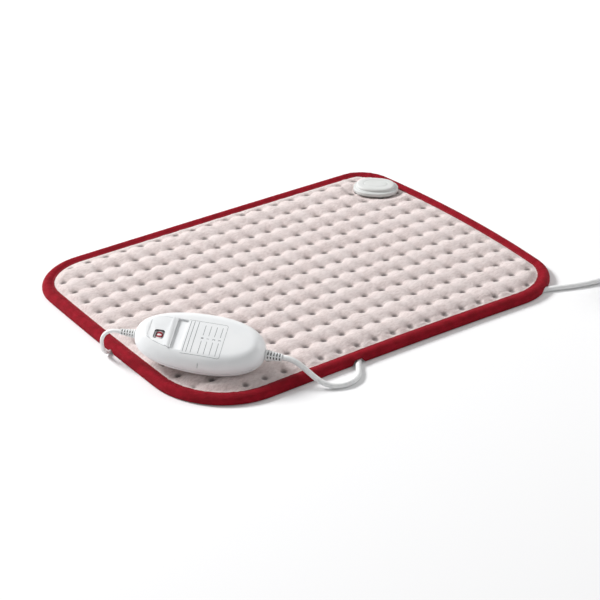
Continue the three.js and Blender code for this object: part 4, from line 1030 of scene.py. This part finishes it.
shape_with(tie, block((near_side + 0.006, -0.0029, lap_low), (far_side - 0.003, 0.0029, lap_high)), "UNION")
soften(tie, 0.0002)
put(tie, Matrix.Translation((*coil_centre, 0)) @ Matrix.Rotation(strap_turn, 4, "Z"))
band, _, place = new_material("hook_and_loop", 0.85, sheen=0.2)
loops = grain(place, 1400, 3)
dress(band, near_tones(loops, (0.60, 0.60, 0.59), (0.76, 0.76, 0.75)), loops, 0.0003)
tie.data.materials.append(band)
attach(tie, "pad_and_controller")
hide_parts("coil_tie")

# The mains plug: a flat two-pin plug body moulded on the lead in pale grey PVC, waisted for the fingers,
# with a tapered sleeve at its back and two round plated pins.
plug_back, plug_front, plug_axis, plug_height = 0.352, 0.389, -0.1783, 0.0137
plug_half_width, plug_neck_width, pin_offset = 0.01765, 0.017, 0.0093
plug = block((plug_back, plug_axis - plug_half_width, 0), (plug_front, plug_axis + plug_half_width, plug_height))
plug.name = plug.data.name = "plug_moulding"
slice_up(plug, (1, 0, 0), (plug_back + 0.0123, plug_back + 0.0240))
for point in plug.data.vertices:
    if point.co.x < plug_back + 0.001:
        point.co.y = plug_axis + (point.co.y - plug_axis) * plug_neck_width / (2 * plug_half_width)
    elif point.co.x < plug_back + 0.02:
        point.co.y = plug_axis + (point.co.y - plug_axis) * 0.93
soften(plug, 0.0026, 25, 5)
sleeve_levels = [(0.0046, 0.006), (0.0046, 0.0)]
plug_rib_pitch, plug_rib_rise = 0.003, 0.0007
for k in range(5):
    radius, along = 0.0043 - 0.00028 * k, -plug_rib_pitch * (k + 1)
    groove = radius - plug_rib_rise
    sleeve_levels += [(radius, along), (radius, along - 0.0014)]
    sleeve_levels += [(groove, along - 0.0015), (groove, along - plug_rib_pitch)]
sleeve_levels = [(radius, radius, along) for radius, along in sleeve_levels]
sleeve = oval_loop("plug_sleeve", sleeve_levels[0][:2], sleeve_levels[0][2], power=2, sides=40)
draw_up(sleeve, sleeve_levels)
fill_open_loops(sleeve)
sleeve_place = Matrix.Translation((plug_back, plug_axis, plug_height / 2))
put(sleeve, sleeve_place @ Matrix.Rotation(math.radians(90), 4, "Y"))
shape_with(plug, sleeve, "UNION")
# Each pin sits in a bore with a shallow sink round it.
for y in (plug_axis - pin_offset, plug_axis + pin_offset):
    mouth = (plug_front + 0.001, y, plug_height / 2)
    for depth_in, radius in ((0.012, 0.0023), (0.0012, 0.0031)):
        shape_with(plug, rod((plug_front - depth_in, y, plug_height / 2), mouth, radius, 32))
soften(plug, 0.0002, 30)
plug.data.materials.append(soft_pvc)
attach(plug, "pad_and_controller")
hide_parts("plug_body")

# The mains lead: the thicker cable of the two, from the controller over the binding to the floor, back under the
# pad and out at its right front. Its spare length is put away in a wound coil, and it ends in the plug.
mains_route = np.array([
    (-117.3, -151.4, 24.6), (-113.9, -155, 24.1), (-110.1, -159.2, 22.3), (-106.4, -164, 18.8),
    (-102.6, -169.8, 14.2), (-98.9, -176.2, 9.4), (-94.5, -182.2, 5.6), (-88.8, -187.2, 3.3),
    (-82, -190.6, 2.6), (-74.4, -191.8, 2.6), (-67, -190.6, 2.6), (-60.5, -187, 2.6),
    (-55.2, -181.5, 2.6), (-50.8, -175, 2.6), (-46.2, -168.5, 2.6), (-40.8, -162.6, 2.6),
    (-34.3, -157.6, 2.6), (-26.5, -154, 2.6), (-17, -152, 2.6), (0, -151, 2.6),
    (40, -150.5, 2.6), (85, -150.5, 2.6), (130, -150.7, 2.6), (158, -152, 2.6),
    (176, -155.2, 2.6), (191, -160, 2.6), (205, -165.3, 2.6), (219, -170.2, 2.7),
    (235, -174.1, 3), (254, -176.1, 3.7), (274, -176.7, 3.9),
]) / 1000
tail_route = np.array([
    (275.6, -176.7, 21.1), (283, -177.2, 20.6), (292, -177.7, 18.6), (301, -178, 15.4),
    (310, -178.2, 12), (319, -178.3, 8.7), (326, -178.3, 7.2), (333.4, -178.3, 6.9),
]) / 1000
coil_start = math.radians(85.6)


def wind_coil():
    """Out and in at a steady rate, a layer up in each half turn where it reverses."""
    turns = np.linspace(0, coil_layers * turns_a_layer, 721)
    phase = turns / turns_a_layer
    layer = np.floor(phase + 1e-9)
    within = phase - layer
    share = np.where(layer % 2 == 0, 1 - within, within)
    radius = coil_inner + turns_a_layer * coil_pitch * share
    level = np.zeros_like(turns)
    for k in range(1, coil_layers):
        t = np.clip((turns - k * turns_a_layer) / 0.5 + 0.5, 0, 1)
        level += t * t * (3 - 2 * t)
    angle = coil_start - 2 * math.pi * turns
    x = coil_centre[0] + radius * np.cos(angle)
    y = coil_centre[1] + radius * np.sin(angle)
    return np.stack([x, y, coil_first_z + level * coil_pitch], 1)


mains_line = np.vstack([
    smooth_route(mains_route, 0.002), wind_coil(), smooth_route(tail_route, 0.002),
])
mains_lead = lay_cable("mains_cable", mains_line, mains_diameter)
mains_lead.data.materials.append(sheath)
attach(mains_lead, "pad_and_controller")
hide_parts("mains_lead", "mains_lead_coil", "mains_lead_tail")

# The backing: a layer of thin wadding faced with brushed polyester, tacked to the quilted top at the same points.
# Nothing is fixed under it, so it lies on the floor and lifts over the two leads that run beneath the pad.
def layer_between(name, step, inside, low, high):
    """A closed layer: a grid's squares inside an outline, at two heights, joined round every edge."""
    plan_x, plan_y = np.arange(-0.2300, 0.2250, step), np.arange(-0.1750, 0.1700, step)
    flat_x, flat_y = (side.ravel() for side in np.meshgrid(plan_x, plan_y, indexing="ij"))
    places = np.stack([flat_x, flat_y], 1)
    wanted = inside(places)
    numbers = np.cumsum(wanted) - 1
    at = np.arange(len(places)).reshape(len(plan_x), len(plan_y))
    cells_kept = np.stack([at[:-1, :-1], at[1:, :-1], at[1:, 1:], at[:-1, 1:]], -1).reshape(-1, 4)
    cells_kept = numbers[cells_kept[wanted[cells_kept].all(1)]]
    places = places[wanted]
    total = len(places)
    edges = np.vstack([cells_kept[:, [k, (k + 1) % 4]] for k in range(4)])
    seen = {(int(a), int(b)) for a, b in edges}
    sides = [(a, b, b + total, a + total) for a, b in seen if (b, a) not in seen]
    points = np.vstack([np.column_stack([places, high(places)]), np.column_stack([places, low(places)])])
    faces = [tuple(c) for c in cells_kept.tolist()] + [tuple(c[::-1]) for c in (cells_kept + total).tolist()]
    made = piece_from(name, points, faces + [side[::-1] for side in sides])
    loose_points = bmesh.new()
    loose_points.from_mesh(made.data)
    bmesh.ops.delete(loose_points, geom=[v for v in loose_points.verts if not v.link_faces], context="VERTS")
    loose_points.to_mesh(made.data)
    loose_points.free()
    for face in made.data.polygons:
        face.use_smooth = True
    return made


lead_lines = ((smooth_route(pad_lead_route, 0.004), 0.0018), (mains_line, 0.0026))


def over_leads(places, slope=0.006):
    """How high the layers are lifted where a lead runs under the pad."""
    level = np.zeros(len(places))
    for line, radius in lead_lines:
        flat = line[(line[:, 2] < 0.008) & (depth_inside(line[:, :2], rim) > -0.004)]
        near = np.full(len(places), 1.0)
        over = np.zeros(len(places))
        for point in flat[::2]:
            gap = np.hypot(places[:, 0] - point[0], places[:, 1] - point[1])
            over = np.where(gap < near, point[2] + radius + 0.0003, over)
            near = np.minimum(near, gap)
        fall = np.clip((near - radius - 0.2 * slope) / slope, 0, 1)
        level = np.maximum(level, over * (1 - fall * fall * (3 - 2 * fall)))
    return level


def lifted(places):
    """The backing's underside: pulled up at the tacks and lifted over the leads."""
    x = (places[:, 0] - first_tack[0]) / tack_pitch[0]
    y = (first_tack[1] - places[:, 1]) / tack_pitch[1]
    off = np.hypot((x - np.round(x)) * tack_pitch[0], (y - np.round(y)) * tack_pitch[1])
    level = 0.0003 + 0.0013 * np.exp(-(off / 0.0055) ** 2)
    inwards = depth_inside(places, rim)
    level = np.maximum(level, 0.0010 * (1 - np.clip((inwards - 0.0130) / 0.003, 0, 1)))
    return np.maximum(level, over_leads(places))


def backing_outline(places):
    """Inside the binding, and outside the coupling's lower shell and the snout that takes the lead."""
    along, across = on_coupling(places)
    snout = (np.abs(along) < 0.0045) & (across < 0) & (across > -0.0245)
    return (depth_inside(places, rim) > 0.0056) & (coupling_oval(places, 0.024, 0.0175) > 1) & ~snout


def backing_top(places):
    return np.maximum(0.0036, lifted(places) + 0.00025)


backing = layer_between("backing_layer", 0.0026, backing_outline, lifted, backing_top)
brushed, _, place = new_material("brushed_backing", 0.9, sheen=0.15)
nap = grain(place, 900, 4, Roughness=0.6)
patches = grain(place, 70, 2)
tone = near_tones(nap, (0.74, 0.68, 0.66), (0.84, 0.79, 0.77))
dress(brushed, colour_mix(patches.rise(0.3, 0.7) * 0.3, tone, (0.88, 0.84, 0.82)), nap, 0.0004)
backing.data.materials.append(brushed)
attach(backing, "pad_and_controller")
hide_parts("bottom_cover")

# The carrier: one thin sheet of bonded cotton interlining, between the wadding layers, that the heating wire
# lies on. It is cut to the pad's outline, caught in the edge binding, and open round the coupling's neck.
carrier_low, carrier_thick = 0.0062, 0.0003


def carrier_outline(places):
    return (depth_inside(places, rim) > hem_tuck) & (coupling_oval(places, *neck_reach) > 1)


def carrier_underside(places):
    """A little wavy, as thin cloth between wadding is."""
    return carrier_low + 0.00008 * np.sin(places[:, 0] * 300) * np.cos(places[:, 1] * 260)


carrier = layer_between(
    "interlining_sheet", 0.0052, carrier_outline,
    carrier_underside, lambda places: carrier_underside(places) + carrier_thick,
)
bonded, _, place = new_material("bonded_interlining", 0.95)
fibres = grain(place, 500, 5, Roughness=0.7)
dress(bonded, near_tones(fibres, (0.68, 0.66, 0.62), (0.80, 0.78, 0.74)), fibres, 0.0002)
carrier.data.materials.append(bonded)
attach(carrier, "pad_and_controller")
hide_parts("heating_carrier")


# The edge binding: dark red woven tape, folded round the rim of the layers and sewn down along its inner edge.
# It bulges over the rolled edge, puckers a little at the corners and arches over the leads that pass under it.
def closed_run(loop):
    """The loop with its first point added at its end, and how far along it each point lies."""
    closed = np.vstack([loop, loop[:1]])
    return closed, np.concatenate([[0], np.cumsum(np.linalg.norm(np.diff(closed, axis=0), axis=1))])


def rim_frames(loop):
    """The rim at even steps, the way inwards at each step, and how far along it each lies."""
    closed, run = closed_run(loop)
    even = np.linspace(0, run[-1], 720, endpoint=False)
    line = np.stack([np.interp(even, run, closed[:, k]) for k in range(2)], 1)
    for _ in range(2):
        line = (np.roll(line, 1, 0) + 2 * line + np.roll(line, -1, 0)) / 4
    along = np.roll(line, -1, 0) - np.roll(line, 1, 0)
    along /= np.linalg.norm(along, axis=1)[:, None]
    return line, np.stack([-along[:, 1], along[:, 0]], 1), even


rim_line, rim_inward, rim_run = rim_frames(rim)
# Distance in from the rim and height above the floor, in millimetres: the tape's outside from its upper to its
# lower edge, then its inside back.
tape_section = np.array([
    (12.4, 7.0), (12.35, 7.2), (11.9, 7.45), (11.2, 7.4), (10.5, 7.45), (9.4, 8.1), (8.2, 8.8), (6.9, 9.25),
    (5.5, 9.4), (4.0, 9.1), (2.6, 8.3), (1.4, 7.1), (0.5, 5.6), (0.1, 4.1), (0.05, 2.6), (0.4, 1.2), (1.2, 0.35),
    (2.6, 0.05), (5.0, 0.0), (8.0, 0.0), (12.3, 0.1), (12.35, 0.6), (8.0, 0.6), (5.0, 0.65), (2.9, 0.8), (1.5, 1.4),
    (1.0, 2.4), (0.9, 3.6), (1.3, 5.0), (2.2, 6.2), (3.6, 6.95), (7.0, 6.98), (10.8, 6.98),
]) / 1000
rng = np.random.default_rng(7)
bend_rate = np.linalg.norm(np.roll(rim_inward, -1, 0) - np.roll(rim_inward, 1, 0), axis=1)
bend_rate /= bend_rate.max()
ripple = np.zeros(len(rim_line))
for rate, phase in zip(rng.uniform(90, 420, 14), rng.uniform(0, 6.28, 14)):
    ripple += np.sin(2 * math.pi * np.round(rate * 1.4) * rim_run / rim_run[-1] / 2 + phase) / 14
rings = []
for middle, inward, pucker, sharp in zip(rim_line, rim_inward, ripple, bend_rate):
    amount = (0.35 + 0.9 * sharp) * pucker
    lift = 1 + 0.09 * amount * np.clip(tape_section[:, 1] / 0.008, 0, 1)
    spread = tape_section[:, 0] + 0.0006 * amount * (tape_section[:, 1] / 0.008)
    ring = np.empty((len(tape_section), 3))
    ring[:, :2] = middle + np.clip(spread, 0, None)[:, None] * inward
    ring[:, 2] = np.clip(tape_section[:, 1] * lift, 0, None)
    rings.append(ring)
rings = np.array(rings)
count, sides = rings.shape[:2]
arch_slope, arch_fade = 0.0025, 0.0075
arch = over_leads(rings[:, :, :2].reshape(-1, 2), arch_slope).reshape(count, sides)
arched = arch + rings[:, :, 2] * (1 - arch / arch_fade)
rings[:, :, 2] = np.maximum(rings[:, :, 2], arched)
ring_at = np.arange(count * sides).reshape(count, sides)
ahead = np.roll(ring_at, -1, 0)
tape_faces = np.stack([ring_at, np.roll(ring_at, -1, 1), np.roll(ahead, -1, 1), ahead], -1).reshape(-1, 4)
binding = piece_from("binding_tape", rings.reshape(-1, 3), tape_faces[:, ::-1])
face_outwards(binding)
bpy.ops.object.shade_smooth()
weave_map = binding.data.uv_layers.new(name="along_tape")
girth = np.concatenate([[0], np.cumsum(np.linalg.norm(np.diff(tape_section, axis=0), axis=1))])
for face in binding.data.polygons:
    starts_last = {binding.data.loops[k].vertex_index // sides for k in face.loop_indices} == {0, count - 1}
    wraps = {binding.data.loops[k].vertex_index % sides for k in face.loop_indices} == {0, sides - 1}
    for k in face.loop_indices:
        ring, side = divmod(binding.data.loops[k].vertex_index, sides)
        run = rim_run[ring] + (rim_run[-1] + rim_run[1] if starts_last and ring == 0 else 0)
        over = girth[side] + (girth[-1] + 0.003 if wraps and side == 0 else 0)
        weave_map.data[k].uv = (run * 10, over * 10)

tape, tape_start, place = new_material("binding_weave", 0.6)
tape.node_tree.nodes["Principled BSDF"].inputs["Specular IOR Level"].default_value = 0.1
along = tape_start.node("ShaderNodeUVMap", {"uv_map": "along_tape"})
parts = along.node("ShaderNodeSeparateXYZ", None, {"Vector": along})
across = parts.node("ShaderNodeSeparateXYZ", None, {"Vector": along}, 1)
warp = parts.wave(2 * math.pi * 100 / 0.55)
weft = across.wave(2 * math.pi * 100 / 0.7)
weave = warp * weft
cloudy = grain(place, 120, 3)
slub = grain(place, 900, 3)
red = colour_mix(cloudy.rise(0.3, 0.75), (0.215, 0.003, 0.010), (0.325, 0.006, 0.018))
red = colour_mix(weave.rise(-0.9, 0.9) * 0.3, red, (0.40, 0.010, 0.024))
dress(tape, red, weave * 0.5 + slub * 0.7, 0.00022, 0.62 + 0.2 * slub)
binding.data.materials.append(tape)
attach(binding, "pad_and_controller")
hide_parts("edge_binding")

# The binding's seam: one row of lockstitch in red polyester thread, sunk in the tape near its inner edge.
# Each stitch is a short length of thread that dips into the tape at both ends.
stitch_length, stitch_step, thread = 0.0024, 0.0032, 0.00022
seam_line, seam_run = closed_run(rings[:, 3])
stitch_count = int(seam_run[-1] / stitch_step)
seam_points, seam_faces = [], []
for k in range(stitch_count):
    start = k * seam_run[-1] / stitch_count
    spots = [start + stitch_length * share for share in (0, 0.15, 0.5, 0.85, 1)]
    middles = np.stack([np.interp(spots, seam_run, seam_line[:, axis]) for axis in range(3)], 1)
    ahead_way = middles[-1] - middles[0]
    ahead_way /= np.linalg.norm(ahead_way)
    side_way = np.array([-ahead_way[1], ahead_way[0], 0])
    first = len(seam_points)
    for middle, rise, radius in zip(middles, (-0.0002, 0.0, 0.00012, 0.0, -0.0002), (0.5, 1, 1.1, 1, 0.5)):
        for turn in np.arange(5) * 2 * math.pi / 5:
            seam_points.append(
                middle + thread * radius * (math.cos(turn) * side_way + math.sin(turn) * np.array([0, 0, 1]))
                + np.array([0, 0, rise])
            )
    for ring in range(4):
        for side in range(5):
            a, b = first + ring * 5 + side, first + ring * 5 + (side + 1) % 5
            seam_faces.append((a, a + 5, b + 5, b))
    seam_faces.append(tuple(first + side for side in range(5)))
    seam_faces.append(tuple(first + 20 + side for side in reversed(range(5))))
seam = piece_from("binding_seam", seam_points, seam_faces)
for face in seam.data.polygons:
    face.use_smooth = True
thread_red, _, place = new_material("polyester_thread", 0.5)
dress(thread_red, near_tones(grain(place, 1500), (0.20, 0.006, 0.014), (0.32, 0.014, 0.026)))
seam.data.materials.append(thread_red)
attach(seam, "pad_and_controller")

# Inside parts and metal parts: the heating wire and its two thermal cut-outs, the coupling's contacts, the circuit
# board with what is soldered on it, the switch's wiper and strip, screws and plug pins. They keep their solids.


def plain_finish(name, dark, light, roughness, scale, coat=0.0):
    """A finish of two near tones, with fine grain in its bump and roughness."""
    material, _, place = new_material(name, roughness, coat=coat)
    mottle = grain(place, scale, 3)
    dress(material, near_tones(mottle, dark, light), mottle, 0.00003, roughness - 0.06 + 0.12 * mottle)
    return material


def brushed_metal(name, dark, light, roughness):
    """Drawn metal: fine streaks along X over a slow mottle."""
    material, _, place = new_material(name, roughness, metallic=1.0)
    drawn = place.node("ShaderNodeMapping", None, {"Vector": place, "Scale": (1, 14, 14)})
    streaks = grain(drawn, 260, 3)
    mottle = grain(place, 400, 2)
    tone = near_tones(streaks * 0.6 + mottle * 0.4, dark, light)
    dress(material, tone, streaks, 0.00002, roughness - 0.08 + 0.16 * streaks)
    return material


wire_red = plain_finish("wire_silicone", (0.36, 0.07, 0.05), (0.50, 0.12, 0.09), 0.5, 800)
plated = brushed_metal("plated_steel", (0.55, 0.56, 0.57), (0.70, 0.71, 0.72), 0.28)
contact_copper = brushed_metal("contact_copper", (0.55, 0.29, 0.13), (0.72, 0.42, 0.22), 0.32)
black_moulding = plain_finish("black_moulding", (0.018, 0.018, 0.02), (0.035, 0.035, 0.038), 0.45, 900)
board_green = plain_finish("board_lacquer", (0.02, 0.13, 0.05), (0.04, 0.20, 0.08), 0.35, 500, coat=0.4)
film_red = plain_finish("film_capacitor_case", (0.42, 0.05, 0.03), (0.55, 0.08, 0.05), 0.4, 700)
lamp_red = plain_finish("lamp_lens", (0.72, 0.36, 0.33), (0.85, 0.48, 0.44), 0.15, 500, coat=0.6)
lower_matte = plain_finish("grey_white_moulding", (0.73, 0.755, 0.735), (0.78, 0.80, 0.785), 0.48, 1500)
for material, nodes in (
    (wire_red, ["heating_wire"]),
    (plated, [
        "thermal_cutout_1", "thermal_cutout_2", "coupling_screw_1", "coupling_screw_2", "housing_screw_1",
        "housing_screw_2", "housing_screw_3", "housing_screw_4", "glass_fuse", "plug_pin_1", "plug_pin_2",
    ]),
    (contact_copper, ["contact_pin_1", "contact_pin_2", "contact_pin_3", "contact_wiper", "contact_strip"]),
    (black_moulding, ["contact_block", "drum_rail", "electrolytic_capacitor", "triac", "controller_chip"]),
    (board_green, ["circuit_board"]),
    (film_red, ["film_capacitor"]),
    (lamp_red, ["indicator_lamp"]),
    (lower_matte, ["coupling_bottom_shell", "mains_terminal", "pad_terminal"]),
):
    for node in nodes:
        bpy.data.objects[node].material_slots[0].material = material

# The floor is a plain pale sheet, lit by large soft lamps as in a studio.
# It isn't part of the object.
bpy.ops.object.select_all(action="DESELECT")
bpy.ops.mesh.primitive_plane_add(size=12)
floor = bpy.context.object
floor.name = "studio_floor"
floor_material, floor_start, _ = new_material("studio_paper", 0.9)
floor_tree = floor_material.node_tree
floor_shader = floor_tree.nodes["Principled BSDF"]
floor_shader.inputs["Base Color"].default_value = (0.855, 0.855, 0.86, 1)
floor_shader.inputs["Specular IOR Level"].default_value = 0


def seen_plainly(start):
    """1 where the camera, a reflection or glass looks at a thing, and 0 where it only lights the others."""
    looks = [
        start.node("ShaderNodeLightPath", take=f"Is {ray} Ray") for ray in ("Camera", "Glossy", "Transmission")
    ]
    return looks[0].most(looks[1]).most(looks[2])


floor_glow = seen_plainly(floor_start) * 0.05
floor_shader.inputs["Emission Color"].default_value = (1, 1, 1, 1)
floor_tree.links.new(floor_glow.output, floor_shader.inputs["Emission Strength"])
floor.data.materials.append(floor_material)


def soft_lamp(name, place, size, power):
    """A round white lamp that is turned towards the pad's middle."""
    data = bpy.data.lights.new(name, "AREA")
    data.shape = "DISK"
    data.size = size
    data.energy = power
    lamp = bpy.data.objects.new(name, data)
    scene.collection.objects.link(lamp)
    lamp.location = place
    lamp.rotation_euler = (-Vector(place)).to_track_quat("-Z", "Y").to_euler()


soft_lamp("rear_left_lamp", (-1.65, 2.55, 2.45), size=1.15, power=180)
soft_lamp("right_lamp", (2.0, -0.5, 1.3), size=1.4, power=13)
world = bpy.data.worlds.new("studio_air")
scene.world = world
world.use_nodes = True
world_tree = world.node_tree
air = world_tree.nodes["Background"]
strength = 0.35 + 0.65 * seen_plainly(Socket(world_tree))
world_tree.links.new(strength.output, air.inputs["Strength"])
air.inputs["Color"].default_value = (1, 1, 1, 1)
